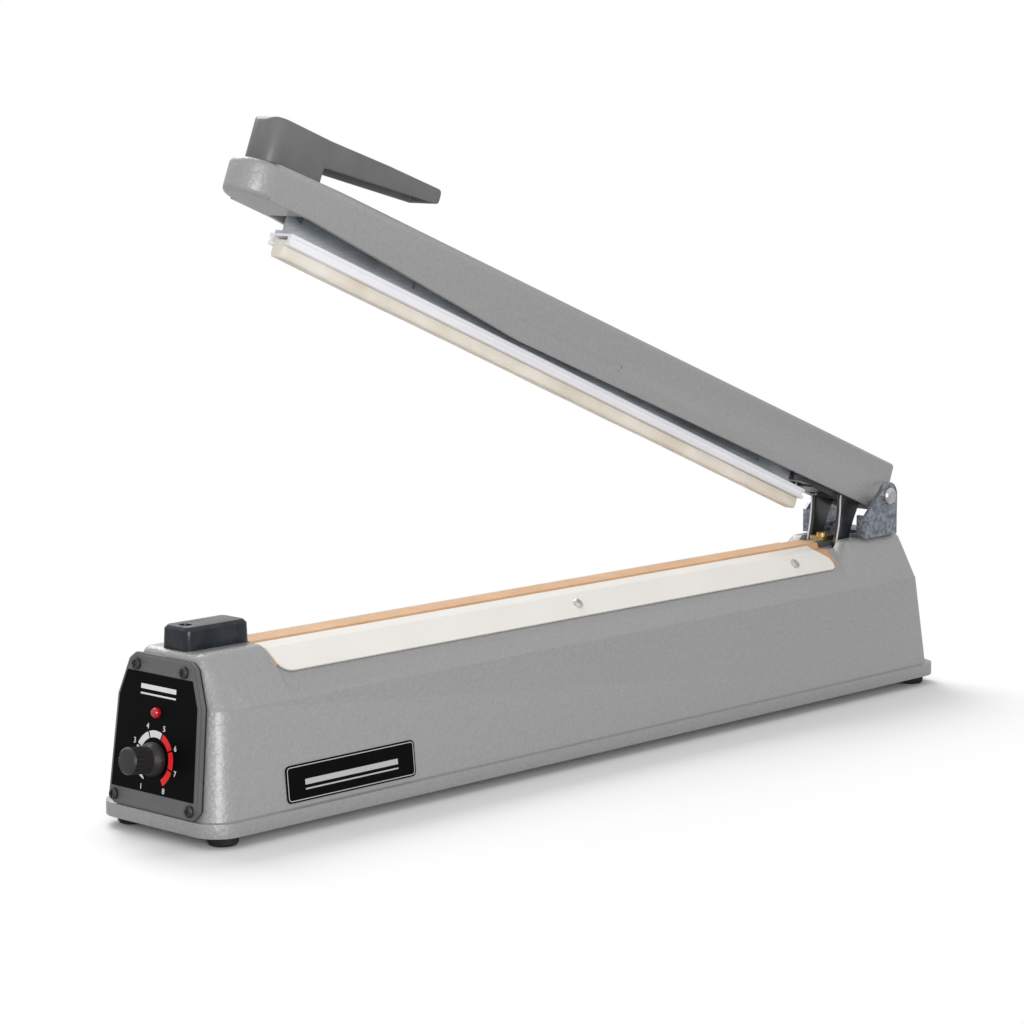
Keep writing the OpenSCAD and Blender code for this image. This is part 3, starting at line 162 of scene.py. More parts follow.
world = bpy.data.worlds.new("white_studio")
bpy.context.scene.world = world
world.use_nodes = True
sky = Tree(world.node_tree)
soft_light = sky.tree.nodes["Background"]
sky.join(soft_light, {"Color": (1, 1, 1, 1), "Strength": 0.68})
distance = sky.node("ShaderNodeBackground", {}, {"Color": (1, 1, 1, 1), "Strength": 1.0})
direct = sky.node("ShaderNodeMath", {"operation": "MAXIMUM"}, {
    0: sky.node("ShaderNodeLightPath", out="Is Camera Ray"),
    1: sky.node("ShaderNodeLightPath", out="Is Transmission Ray")})
around = sky.node("ShaderNodeMixShader", {}, {
    0: direct, 1: Wire(sky, soft_light.outputs[0]), 2: distance})
sky.join(sky.tree.nodes["World Output"], {"Surface": around})


def lamp(name, at, to, power, size):
    light = bpy.data.lights.new(name, "AREA")
    light.energy, light.size = power, size
    light.shape = "SQUARE"
    made = bpy.data.objects.new(name, light)
    bpy.context.collection.objects.link(made)
    made.location = at
    made.rotation_euler = (Vector(to) - Vector(at)).to_track_quat("-Z", "Y").to_euler()


lamp("key", (0.35, 1.35, 1.65), (0, 0, 0.1), 27, 1.2)
lamp("side", (-1.5, -1.9, 0.55), (0, 0, 0.1), 24, 1.0)

bpy.ops.object.select_all(action="DESELECT")
bpy.ops.mesh.primitive_plane_add(size=12, location=(0, 0, -0.0002))
floor = bpy.context.object
floor.name = "studio_floor"
paper = Look("floor_paper", Roughness=0.9)
half_footprint, shadow_full, shadow_gone = (0.27, 0.042, 0), 0.02, 0.14
away = paper.place
for operation, value in (
        ("ABSOLUTE", (0, 0, 0)), ("SUBTRACT", half_footprint), ("MAXIMUM", (0, 0, 0))):
    away = paper.node("ShaderNodeVectorMath", {"operation": operation}, {0: away, 1: value})
away = paper.node("ShaderNodeVectorMath", {"operation": "LENGTH"}, {0: away}, out="Value")
seen = paper.node("ShaderNodeLightPath", out="Is Camera Ray")
paper.set(Base_Color=paper.mixed(seen, grey(0.5), grey(0.95)))
white = paper.node("ShaderNodeEmission", {}, {"Color": (1, 1, 1, 1), "Strength": 1.0})
both = paper.node("ShaderNodeMixShader", {}, {
    0: seen * paper.band(away, shadow_full, shadow_gone),
    1: Wire(paper, paper.shader.outputs[0]), 2: white})
paper.join(paper.tree.nodes["Material Output"], {"Surface": both})
floor.data.materials.append(paper.material)


# Base casting: one hollow shell of cast metal, drafted on every side so that it leaves its mould,
# with the sealing ridge and the two end blocks cast in one with it. It is sprayed with a grey
# hammered paint that dries in small domes and runs thin on the edges.
def hammered_paint(name):
    level = 0.37
    look = Look(name, Metallic=0.25, Coat_Roughness=0.18)
    cells = look.node(
        "ShaderNodeTexVoronoi", {"feature": "SMOOTH_F1"},
        {"Vector": look.place, "Scale": 560.0, "Smoothness": 0.8, "Randomness": 1.0})
    fine = look.noise(look.place, 1500.0, 2.0)
    height = fine * 0.5 - cells * 0.7
    look.set(
        Base_Color=look.mixed(
            look.band(cells * 0.5 + fine * 0.5, 0.25, 0.75),
            grey(level * 1.06), grey(level * 0.92)),
        Roughness=0.34 + fine * 0.16,
        Coat_Weight=look.band(cells, 0.1, 0.9) * 0.5,
        Normal=look.bump(height, 0.00032, 0.9))
    return look.material


def recast(source, name, width, segments=2, angle=28, settle=None, clamp=True):
    """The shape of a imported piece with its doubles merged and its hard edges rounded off."""
    doubles, coplanar = 0.00002, radians(0.8)
    bpy.ops.object.select_all(action="DESELECT")
    made = bpy.data.objects.new(name, frame["nodes"][source].data.copy())
    bpy.context.collection.objects.link(made)
    made.data.materials.clear()
    bpy.context.view_layer.objects.active = made
    made.select_set(True)
    if settle:
        for vertex in made.data.vertices:
            settle(vertex)
    bpy.ops.object.mode_set(mode="EDIT")
    bpy.ops.mesh.select_all(action="SELECT")
    bpy.ops.mesh.remove_doubles(threshold=doubles)
    bpy.ops.mesh.dissolve_limited(angle_limit=coplanar)
    bpy.ops.object.mode_set(mode="OBJECT")
    bevel = made.modifiers.new("edge", "BEVEL")
    bevel.width, bevel.segments, bevel.limit_method = width, segments, "ANGLE"
    bevel.angle_limit = radians(angle)
    bevel.use_clamp_overlap = clamp
    bpy.ops.object.modifier_apply(modifier="edge")
    bpy.ops.object.shade_smooth_by_angle(angle=radians(angle))
    return made


def dress(piece, material, source=None, body=None):
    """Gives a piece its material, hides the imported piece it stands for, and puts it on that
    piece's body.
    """
    piece.data.materials.clear()
    piece.data.materials.append(material)
    if source:
        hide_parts(source)
        for name, nodes in frame["record"]["behaviour"]["bodies"].items():
            if source in nodes:
                body = name
    if body:
        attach(piece, body)


def paint(material, *nodes):
    """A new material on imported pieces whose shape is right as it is."""
    for name in nodes:
        packed = frame["nodes"][name]
        for place in packed.material_slots:
            place.material = material


casting_paint = hammered_paint("grey_hammered_paint")
crease_y, crease_z, under_crease = 0.0335, 0.06, 0.0003
wall_lean = atan2(5.05, 49.5)


def onto_wall(vertex):
    """Draws the ridge's foot in to the side wall, so that the crease is one clean edge."""
    lip, hair = 0.0005, 0.00005
    proud = abs(vertex.co.y) - crease_y
    if 0 < proud < lip and abs(vertex.co.z - crease_z + under_crease) < hair:
        on_wall = crease_y + under_crease * tan(wall_lean)
        vertex.co.y = on_wall if vertex.co.y > 0 else -on_wall


dress(
    recast("base_casting", "base_shell", 0.0012, 3, settle=onto_wall),
    casting_paint, "base_casting")


# Bottom plate, transformer strap, switch bracket and the timer's case: folded sheet steel, zinc
# plated after it was cut, so that the plating shows soft clouds and fine rolling lines.
def zinc_plate(name, tint=(0.60, 0.62, 0.65), streak=(1, 1, 40), rough=0.3, cloud=30.0):
    look = Look(name, Metallic=0.9)
    lines = look.noise(look.scaled(*streak), 60.0, 3.0)
    clouds = look.noise(look.place, cloud, 4.0, 0.6)
    dark = tuple(0.72 * v for v in tint) + (1,)
    pale = tuple(min(1, 1.12 * v) for v in tint) + (1,)
    look.set(
        Base_Color=look.mixed(look.band(clouds * 0.6 + lines * 0.4, 0.35, 0.65), dark, pale),
        Roughness=rough + clouds * 0.22,
        Normal=look.bump(lines, 0.00004, 0.35))
    return look.material


plated = zinc_plate("zinc_plated_sheet")
paint(plated, "bottom_plate", "transformer_frame", "switch_bracket", "timer_potentiometer")


# Screws, posts and pins: turned or headed steel, bright plated, with a faint ring of tool marks
# and a little dirt in random patches.
def plated_steel(name, level=0.6, rough=0.28):
    look = Look(name, Metallic=1.0)
    rings = look.noise(look.place, 900.0, 2.0)
    dirt = look.noise(look.place, 260.0, 3.0)
    look.set(
        Base_Color=look.mixed(look.band(dirt, 0.45, 0.75), grey(level), grey(level * 0.6)),
        Roughness=rough + rings * 0.15,
        Normal=look.bump(rings, 0.00003, 0.3))
    return look.material


paint(
    plated_steel("bright_screw_steel"),
    "bottom_plate_screws", "feet_screws", "terminal_cover_screw", "transformer_screws",
    "board_screws", "switch_screws", "spring_post", "hinge_bracket_screws", "handle_screws",
    "fork_screws", "fork_cross_pin", "holder_screws", "potentiometer_nut", "potentiometer_shaft")
paint(plated_steel("plate_screw_steel", 0.75, 0.35), "clamp_plate_screws")
paint(plated_steel("blackened_screw_steel", 0.1, 0.3), "panel_screws")


# Rubber feet, the gasket and the cord grommet: moulded black rubber with a dull, dusty skin. The
# feet are screwed on from below, and the gasket lies between the bezel and the end wall.
def black_rubber(name):
    look = Look(name, Specular_IOR_Level=0.35)
    dust = look.noise(look.place, 180.0, 4.0, 0.6)
    grain = look.noise(look.place, 2200.0, 1.0)
    look.set(
        Base_Color=look.mixed(look.band(dust, 0.4, 0.8), grey(0.012), grey(0.035)),
        Roughness=0.62 + dust * 0.25,
        Normal=look.bump(grain, 0.00005, 0.4))
    return look.material


rubber_skin = black_rubber("moulded_black_rubber")
dress(recast("rubber_feet", "moulded_feet", 0.0006), rubber_skin, "rubber_feet")
paint(rubber_skin, "mains_grommet", "panel_gasket")


# Bezel: a dark grey moulding with a fine brushed grain, chamfered all round, that frames the label
# and is held to the end wall by four screws.
def satin_plastic(
        name, level, grain, depth, rough, streak=(1, 1, 1), blue=0.0, coat=0.0, shine=0.5):
    look = Look(name, Specular_IOR_Level=shine, Coat_Weight=coat, Coat_Roughness=0.2)
    fine = look.noise(look.scaled(*streak), grain, 2.0)
    wear = look.noise(look.place, 45.0, 3.0)
    look.set(
        Base_Color=look.mixed(
            look.band(wear, 0.35, 0.75), grey(level * 0.88, blue), grey(level * 1.12, blue)),
        Roughness=rough + fine * 0.14 + wear * 0.08,
        Normal=look.bump(fine, depth, 0.5))
    return look.material


bezel_skin = satin_plastic(
    "brushed_grey_plastic", 0.125, 700.0, 0.00006, 0.34, (1, 0.12, 1), coat=0.15)
dress(recast("front_bezel", "bezel_frame", 0.0005), bezel_skin, "front_bezel")


# Label: a black gloss film behind a clear coat, stuck on the bezel. Its scale is screen printed in
# white and red ink: seven arcs between the figures 1 to 8, and two plain stripes at the top.
def linear(red, green, blue):
    """A colour read from the photo, 0 to 255, as the shader wants it."""
    def one(v):
        v /= 255
        return v / 12.92 if v <= 0.04045 else ((v + 0.055) / 1.055) ** 2.4
    return (one(red), one(green), one(blue), 1)


film = satin_plastic("black_label_film", 0.001, 900.0, 0.00001, 0.4, shine=0.08)
paint(film, "panel_label")
knob_turn = next(
    joint for joint in frame["record"]["behaviour"]["joints"]
    if joint["name"] == "timer_knob_turn")
out = -Vector(knob_turn["axis"])
right = Vector((0, -1, 0))
upward = out.cross(right)
label_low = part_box("panel_label")[0]
dial = Vector(knob_turn["pos_m"])
dial += out * (Vector((label_low.x, 0, label_low.z)) - dial).dot(out)
on_label = Matrix((
    (right.x, upward.x, out.x, dial.x), (right.y, upward.y, out.y, dial.y),
    (right.z, upward.z, out.z, dial.z), (0, 0, 0, 1)))
ink_depth = 0.00003


def screen_printed(name, outlines, letters, place):
    """Flat shapes and characters in metres, filled, given the ink's depth, and laid on a face."""
    bpy.ops.object.select_all(action="DESELECT")
    shapes = bpy.data.curves.new(name, "CURVE")
    shapes.dimensions, shapes.fill_mode, shapes.extrude = "2D", "BOTH", ink_depth
    for outline in outlines:
        line = shapes.splines.new("POLY")
        line.points.add(len(outline) - 1)
        for point, (x, y) in zip(line.points, outline):
            point.co = (x, y, 0, 1)
        line.use_cyclic_u = True
    flat = bpy.data.objects.new(name, shapes)
    bpy.context.collection.objects.link(flat)
    for character, x, y, size in letters:
        bpy.ops.object.text_add(location=(x, y, 0))
        text = bpy.context.object
        text.data.body, text.data.size, text.data.extrude = character, size, ink_depth
        text.data.align_x, text.data.align_y = "CENTER", "CENTER"
        text.data.offset = size * 0.012
    for made in [o for o in bpy.context.collection.objects if o.type in ("FONT", "CURVE")]:
        made.select_set(True)
    bpy.context.view_layer.objects.active = flat
    bpy.ops.object.convert(target="MESH")
    for made in bpy.context.selected_objects:
        made.data.transform(place @ made.matrix_world)
        made.matrix_world = Matrix()
    bpy.ops.object.join()
    return bpy.context.object


figure_radius, figure_size = 0.0154, 0.0036
first_figure, figure_step = -150, 300 / 7
arc_inner, arc_outer, arc_gap = 0.0099, 0.0130, 2


def scale_arc(first, last, pointed):
    """One arc of the dial's scale, clockwise from the top; a pointed one grows from nothing."""
    steps = 14
    far, near = [], []
    for i in range(steps + 1):
        turn = radians(first + (last - first) * i / steps)
        spread = min(1, i / steps * 1.6 + 0.05)
        thin = (arc_outer - arc_inner) / 2 * (1 - spread) if pointed else 0
        far.append(((arc_outer - thin) * sin(turn), (arc_outer - thin) * cos(turn)))
        near.append(((arc_inner + thin) * sin(turn), (arc_inner + thin) * cos(turn)))
    return far + near[::-1]


def stripe(x, y, width, height):
    return [(x - width / 2, y - height / 2), (x + width / 2, y - height / 2),
            (x + width / 2, y + height / 2), (x - width / 2, y + height / 2)]


figures = [(str(i + 1), radians(first_figure + figure_step * i)) for i in range(8)]
arcs = [
    scale_arc(
        first_figure + arc_gap + figure_step * i,
        first_figure - arc_gap + figure_step * (i + 1), i == 0)
    for i in range(7)]
label_stripes = [stripe(0, 0.0318, 0.024, 0.0022), stripe(0, 0.0286, 0.024, 0.0008)]


def ink(name, colour, rough=0.45):
    look = Look(name, Roughness=rough)
    grain = look.noise(look.place, 2600.0, 2.0)
    thin = tuple(v * 0.9 for v in colour[:3]) + (1,)
    look.set(
        Base_Color=look.mixed(look.band(grain, 0.4, 0.7), thin, colour),
        Normal=look.bump(grain, 0.00001, 0.4))
    return look.material


white_ink = ink("white_ink", (0.86, 0.86, 0.86, 1))
white_scale = screen_printed(
    "dial_scale_white", arcs[:4] + label_stripes,
    [(figure, figure_radius * sin(turn), figure_radius * cos(turn), figure_size)
     for figure, turn in figures], on_label)
dress(white_scale, white_ink, body="base")
dress(
    screen_printed("dial_scale_red", arcs[4:], [], on_label),
    ink("red_ink", linear(245, 32, 36)), body="base")


# Indicator lamp: a clear red moulded dome with a thin collar, pushed through the bezel. Its small
# facets are painted bright red in the middle and darker at the rim, a painted glow of light pooled
# inside.
lens_red = Look("red_lamp_lens", Roughness=0.12, Coat_Weight=1.0, Coat_Roughness=0.03)
facets_and_painted_glow = lens_red.node(
    "ShaderNodeTexVoronoi", {"feature": "F1"}, {"Vector": lens_red.place, "Scale": 1300.0})
# The bright and dark reds are painted light: a painted glow in the middle of each facet, darker at
# its rim.
lens_red.set(
    Base_Color=lens_red.mixed(
        lens_red.band(facets_and_painted_glow, 0.1, 0.8), linear(238, 20, 40), linear(150, 0, 18)),
    Normal=lens_red.bump(facets_and_painted_glow, 0.00002, 0.3))
dress(recast("indicator_lamp", "lamp_lens", 0.0002), lens_red.material, "indicator_lamp")


# Timer knob: a black phenolic pointer knob, moulded with a skirt and a fluted grip and pressed on
# the timer's shaft. A notch in its rim points at the scale.
knob_skin = satin_plastic("black_knob_plastic", 0.016, 1500.0, 0.00003, 0.34, coat=0.25)
dress(recast("timer_knob", "pointer_knob", 0.0004, 3), knob_skin, "timer_knob")
paint(knob_skin, "lamp_body", "micro_switch")


# Badge: a thin black plate glued on the near wall, with a border line and two plain stripes
# printed on it in grey ink.
badge_low, badge_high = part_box("side_badge")
badge_film = satin_plastic("black_badge_film", 0.001, 900.0, 0.00001, 0.4, shine=0.08)
dress(recast("side_badge", "badge_plate", 0.00015), badge_film, "side_badge")
badge_up = Vector((0, sin(wall_lean), cos(wall_lean)))
badge_out = Vector((1, 0, 0)).cross(badge_up)
badge_centre = (badge_low + badge_high) / 2
badge_reach = max(
    (vertex.co - badge_centre).dot(badge_out)
    for vertex in frame["nodes"]["side_badge"].data.vertices)
badge_centre += badge_out * badge_reach
on_badge = Matrix((
    (1, 0, 0, badge_centre.x), (0, badge_up.y, badge_out.y, badge_centre.y),
    (0, badge_up.z, badge_out.z, badge_centre.z), (0, 0, 0, 1)))


def rounded(width, height, corner):
    """A rectangle with round corners about the middle."""
    line = []
    for i, (x, y) in enumerate([(1, 1), (-1, 1), (-1, -1), (1, -1)]):
        for step in range(5):
            turn = (i + step / 4) * pi / 2
            line.append((
                x * (width / 2 - corner) + corner * cos(turn),
                y * (height / 2 - corner) + corner * sin(turn)))
    return line


badge_w, badge_h = badge_high.x - badge_low.x, (badge_high.z - badge_low.z) / cos(wall_lean)
badge_stripe, line_outside, line_inside = badge_w * 0.72, 0.0016, 0.0024
dress(
    screen_printed(
        "badge_print",
        [rounded(badge_w - line_outside, badge_h - line_outside, 0.0018),
         rounded(badge_w - line_inside, badge_h - line_inside, 0.0014),
         stripe(0, 0, badge_stripe, 0.0026), stripe(0, -0.0032, badge_stripe, 0.0007)],
        [], on_badge),
    ink("grey_ink", linear(196, 196, 196)), body="base")


# Terminal cover: a glossy blue-black moulded box with soft edges, held on the front block by one
# deep-set screw, with a sink mark on its near side.
gloss = Look("blue_black_gloss", Specular_IOR_Level=0.35, Coat_Weight=0.25, Coat_Roughness=0.06)
ripple = gloss.noise(gloss.place, 120.0, 3.0)
fine = gloss.noise(gloss.place, 1800.0, 2.0)
cover_low, cover_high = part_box("terminal_cover")
sink = (cover_high.x - 0.0085, cover_low.y, cover_high.z - 0.0042)
sink_radius = 0.0022
from_sink = gloss.node(
    "ShaderNodeVectorMath", {"operation": "DISTANCE"}, {0: gloss.place, 1: sink}, out="Value")
gloss.set(
    Base_Color=gloss.mixed(gloss.band(ripple, 0.35, 0.7), linear(16, 21, 27), linear(36, 44, 53)),
    Roughness=0.2 + fine * 0.16,
    Normal=gloss.bump(gloss.band(from_sink, 0.0, sink_radius) + fine * 0.04, 0.0005, 0.9))
dress(recast("terminal_cover", "terminal_box", 0.0011, 3), gloss.material, "terminal_cover")


# Terminals: brass posts with slotted heads on brown laminate pads, which hold the ends of the
# heating ribbon.
paint(
    satin_plastic("brown_laminate", 0.1, 500.0, 0.00005, 0.5, (1, 20, 20), shine=0.3),
    "terminal_pads")
brass = Look("turned_brass", Metallic=1.0)
turning = brass.noise(brass.place, 700.0, 3.0)
brass.set(
    Base_Color=brass.mixed(
        brass.band(turning, 0.35, 0.7), (0.62, 0.42, 0.16, 1), (0.8, 0.6, 0.3, 1)),
    Roughness=0.25 + turning * 0.2, Normal=brass.bump(turning, 0.00003, 0.3))
paint(brass.material, "front_terminal", "rear_terminal")


# Sealing bed: a drawn aluminium bar that lies along the ridge's flat top, under a strip of glass
# cloth and the flat heating ribbon.
paint(zinc_plate("drawn_aluminium", (0.62, 0.63, 0.65), (1, 30, 30), 0.32, 60.0), "sealing_bed")
paint(plated_steel("ribbon_alloy", 0.5, 0.35), "heating_ribbon")


# Non-stick cover: a strip of glass cloth soaked in tan fluoropolymer, folded down over the bed's
# sides and tucked under both clamp plates. Heat has left it with brown patches and fine streaks.
def woven_tape(name, pale, dark):
    look = Look(name, Specular_IOR_Level=0.45)
    flat = look.node("ShaderNodeUVMap", {"uv_map": "flat"})
    thread_pitch = 0.0005

    def threads(turn):
        at = look.node("ShaderNodeMapping", {}, {"Vector": flat, "Rotation": (0, 0, turn)})
        return look.node(
            "ShaderNodeTexWave",
            {"wave_type": "BANDS", "bands_direction": "X", "wave_profile": "SIN"},
            {"Vector": at, "Scale": pi / (10 * thread_pitch), "Distortion": 0.0})

    weave = threads(0.0) * 0.5 + threads(pi / 2) * 0.5
    stain = look.noise(flat, 34.0, 4.0, 0.6)
    drawn_out = look.node("ShaderNodeMapping", {}, {"Vector": flat, "Scale": (260, 9, 1)})
    streak = look.noise(drawn_out, 1.0, 2.0)
    look.set(
        Base_Color=look.mixed(
            look.band(stain * 0.5 + streak * 0.3 + weave * 0.2, 0.3, 0.72), dark, pale),
        Roughness=0.32 + weave * 0.2, Normal=look.bump(weave, 0.00008, 0.8))
    return look.material


ridge_slope = radians(44)
tape_low, tape_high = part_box("ptfe_cover")
bed_low, bed_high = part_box("sealing_bed")
ridge_top, ridge_half = bed_low.z, 0.0131
tape_thick, short_of_edge = 0.00016, 0.0004
off_bed, off_ridge, foot_run = 0.00045, 0.0001, 0.0012
over_top = tape_high.z - tape_thick
side = bed_high.y + off_bed
on_ridge = ridge_top + off_ridge
tuck = (tape_high.y - ridge_half) / cos(ridge_slope) - short_of_edge
fold_line = [
    (0.0, over_top), (side, over_top), (side + foot_run, on_ridge), (ridge_half, on_ridge),
    (ridge_half + tuck * cos(ridge_slope), on_ridge - tuck * sin(ridge_slope))]


def span(x0, y0, x1, y1):
    return ((x1 - x0) ** 2 + (y1 - y0) ** 2) ** 0.5


def along(line, run):
    """The point at a distance along a bent line."""
    for (x0, y0), (x1, y1) in zip(line, line[1:]):
        piece = span(x0, y0, x1, y1)
        if run <= piece:
            return x0 + (x1 - x0) * run / piece, y0 + (y1 - y0) * run / piece
        run -= piece
    return line[-1]


half_width = sum(span(*start, *end) for start, end in zip(fold_line, fold_line[1:]))
tape_l = tape_high.x - tape_low.x
end_slant, long_wave, short_wave, waves_end = 0.5, 0.00004, 0.00003, 0.001
bpy.ops.object.select_all(action="DESELECT")
bpy.ops.mesh.primitive_grid_add(x_subdivisions=140, y_subdivisions=64, size=1)
tape = bpy.context.object
tape.name = "non_stick_tape"
flat_map = tape.data.uv_layers[0]
flat_map.name = "flat"
for loop in tape.data.loops:
    place = tape.data.vertices[loop.vertex_index].co
    flat_map.data[loop.index].uv = ((place.x + 0.5) * tape_l, place.y * 2 * half_width)
for vertex in tape.data.vertices:
    u, v = vertex.co.x + 0.5, vertex.co.y * 2
    y, z = along(fold_line, abs(v) * half_width)
    drop = max(0.0, ridge_top - z)
    start = tape_low.x + drop * end_slant
    x = start + u * (tape_high.x - start)
    lift = long_wave * sin(u * 61) + short_wave * sin(u * 173 + v * 4)
    lift *= max(0.0, 1 - drop / waves_end)
    vertex.co = (x, y if v > 0 else -y, z + max(0.0, lift))
skin = tape.modifiers.new("thickness", "SOLIDIFY")
skin.thickness, skin.offset = tape_thick, 1.0
bpy.ops.object.modifier_apply(modifier="thickness")
bpy.ops.object.shade_smooth_by_angle(angle=radians(32))
tape_cloth = woven_tape("tan_woven_tape", linear(226, 184, 142), linear(198, 148, 100))
dress(tape, tape_cloth, "ptfe_cover")
2 * half_width
paint(satin_plastic("glass_cloth_strip", 0.5, 1900.0, 0.00008, 0.7), "glass_cloth")


# Clamp plates: sheet steel with one bend, enamelled off-white, screwed down on both slopes of the
# ridge so that they grip the tape.
def enamel(name, colour, rough=0.28, coat=0.4):
    look = Look(name, Coat_Weight=coat, Coat_Roughness=0.12)
    peel = look.noise(look.place, 420.0, 2.0)
    tone = look.noise(look.place, 22.0, 3.0)
    dull = tuple(v * 0.95 for v in colour[:3]) + (1,)
    look.set(
        Base_Color=look.mixed(look.band(tone, 0.35, 0.7), dull, colour),
        Roughness=rough + peel * 0.12, Normal=look.bump(peel, 0.00004, 0.35))
    return look.material


off_white = enamel("off_white_enamel", linear(240, 237, 231))
for side_name in ("near", "far"):
    plate = recast("clamp_plate_" + side_name, "enamelled_plate_" + side_name, 0.0002, 2, 20)
    dress(plate, off_white, "clamp_plate_" + side_name)


# Hinge bracket: a saddle folded from sheet steel, zinc plated, with dark and pale spangles in the
# plating. The headed pin through it is nickel plated, and a spring clip keeps it in.
spangled = Look("spangled_zinc", Metallic=0.85)
patch = spangled.noise(spangled.place, 520.0, 4.0, 0.6)
scratch = spangled.noise(spangled.scaled(1, 1, 14), 120.0, 3.0)
spangled.set(
    Base_Color=spangled.mixed(
        spangled.band(patch * 0.8 + scratch * 0.2, 0.42, 0.6),
        linear(116, 123, 133), linear(170, 176, 183)),
    Roughness=0.3 + patch * 0.25, Normal=spangled.bump(patch, 0.00006, 0.4))
dress(recast("hinge_bracket", "hinge_saddle", 0.0003), spangled.material, "hinge_bracket")
nickel = plated_steel("nickel_plate", 0.72, 0.16)
dress(recast("hinge_pin", "headed_pin", 0.0005, 3, 20), nickel, "hinge_pin")
dress(recast("bar_pivot_pin", "rocker_pin", 0.0004, 2), nickel, "bar_pivot_pin")
spring_finish = plated_steel("drawn_spring_steel", 0.38, 0.3)
paint(spring_finish, "hinge_pin_clip")


# Arm: one open casting like an upturned channel, closed at the nose and painted like the base. It
# swings on the hinge pin between two bosses.
dress(recast("arm_casting", "arm_channel", 0.0013, 3, 30), casting_paint, "arm_casting")


# Handle: a moulded dark grey hook with soft edges, screwed on the nose from below, so that two
# fingers reach round its bar.
handle_skin = satin_plastic("dark_grey_handle", 0.15, 1300.0, 0.00006, 0.38, coat=0.2)
dress(recast("handle", "hook_handle", 0.001, 3, 34, clamp=False), handle_skin, "handle")


# Lever fork: a small casting in black gloss paint, screwed up into the arm, with two legs that
# reach through the base to the return spring and the switch. The legs' outer faces that look
# forward
# are painted pale grey: rubbed bare metal and a painted highlight where they face the light.
fork_skin = Look("black_enamel_rubbed_and_highlit", Coat_Weight=0.4, Coat_Roughness=0.12)
peel = fork_skin.noise(fork_skin.place, 420.0, 2.0)
leg_middle, legs_top, forwards = 0.0091, 0.108, (-0.97, 0, 0.24)
ahead = fork_skin.node(
    "ShaderNodeVectorMath", {"operation": "DOT_PRODUCT"},
    {0: fork_skin.node("ShaderNodeTexCoord", out="Normal"), 1: forwards}, out="Value")
across = fork_skin.node("ShaderNodeSeparateXYZ", {}, {0: fork_skin.place}, out="Y")
up = fork_skin.node("ShaderNodeSeparateXYZ", {}, {0: fork_skin.place}, out="Z")
across = fork_skin.node("ShaderNodeMath", {"operation": "ABSOLUTE"}, {0: across})
# Pale grey on the legs' outer front faces: rubbed metal and a painted highlight, chosen by the way
# each face points.
rubbed_and_highlit = (
    fork_skin.band(ahead + peel * 0.1, 0.8, 0.9) * (up < legs_top)
    * fork_skin.band(across, leg_middle + 0.0003, leg_middle + 0.0006))
fork_skin.set(
    Base_Color=fork_skin.mixed(rubbed_and_highlit, (0.018, 0.018, 0.019, 1), grey(0.75)),
    Roughness=0.24 + peel * 0.12, Normal=fork_skin.bump(peel, 0.00004, 0.35))
dress(recast("lever_fork", "black_fork", 0.0006, 3), fork_skin.material, "lever_fork")


# Press bar: sheet steel folded to an angle and zinc plated, which rocks on its pin. The
# white coated aluminium holder under it grips the silicone strip by its root.
dress(
    recast("press_bar", "folded_bar", 0.0003),
    zinc_plate("bar_zinc", (0.7, 0.75, 0.8), (1, 1, 40), 0.34), "press_bar")
dress(
    recast("rubber_holder", "strip_holder", 0.0003),
    enamel("white_coating", linear(248, 248, 252), 0.34, 0.15), "rubber_holder")


# Silicone strip: a cream extrusion with its root pulled into the holder's lips. It is soft, so its
# face waves a little along its length.
def soft_silicone(name):
    look = Look(name, Specular_IOR_Level=0.4, Subsurface_Weight=0.15, Subsurface_Scale=0.002)
    cloud = look.noise(look.place, 40.0, 3.0)
    pull = look.noise(look.scaled(0.15, 1, 1), 900.0, 2.0)
    look.set(
        Base_Color=look.mixed(
            look.band(cloud, 0.35, 0.7), linear(226, 217, 202), linear(243, 237, 227)),
        Roughness=0.42 + pull * 0.2, Normal=look.bump(pull, 0.00005, 0.4))
    return look.material


strip = recast("silicone_strip", "cream_strip", 0.0004, 2, 40)
bpy.ops.object.select_all(action="DESELECT")
strip.select_set(True)
bpy.context.view_layer.objects.active = strip
strip_low, strip_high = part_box("silicone_strip")
bpy.ops.object.mode_set(mode="EDIT")
cuts = 60
for i in range(1, cuts):
    bpy.ops.mesh.select_all(action="SELECT")
    cut_x = strip_low.x + (strip_high.x - strip_low.x) * i / cuts
    bpy.ops.mesh.bisect(plane_co=(cut_x, 0, 0), plane_no=(1, 0, 0))
bpy.ops.object.mode_set(mode="OBJECT")
clouds = bpy.data.textures.new("slow_waves", "CLOUDS")
clouds.noise_scale = 0.03
wave = strip.modifiers.new("waves", "DISPLACE")
wave.texture, wave.strength, wave.mid_level = clouds, 0.0005, 0.8
wave.texture_coords = "GLOBAL"
bpy.ops.object.modifier_apply(modifier="waves")
bpy.ops.object.shade_smooth_by_angle(angle=radians(40))
dress(strip, soft_silicone("cream_silicone"), "silicone_strip")


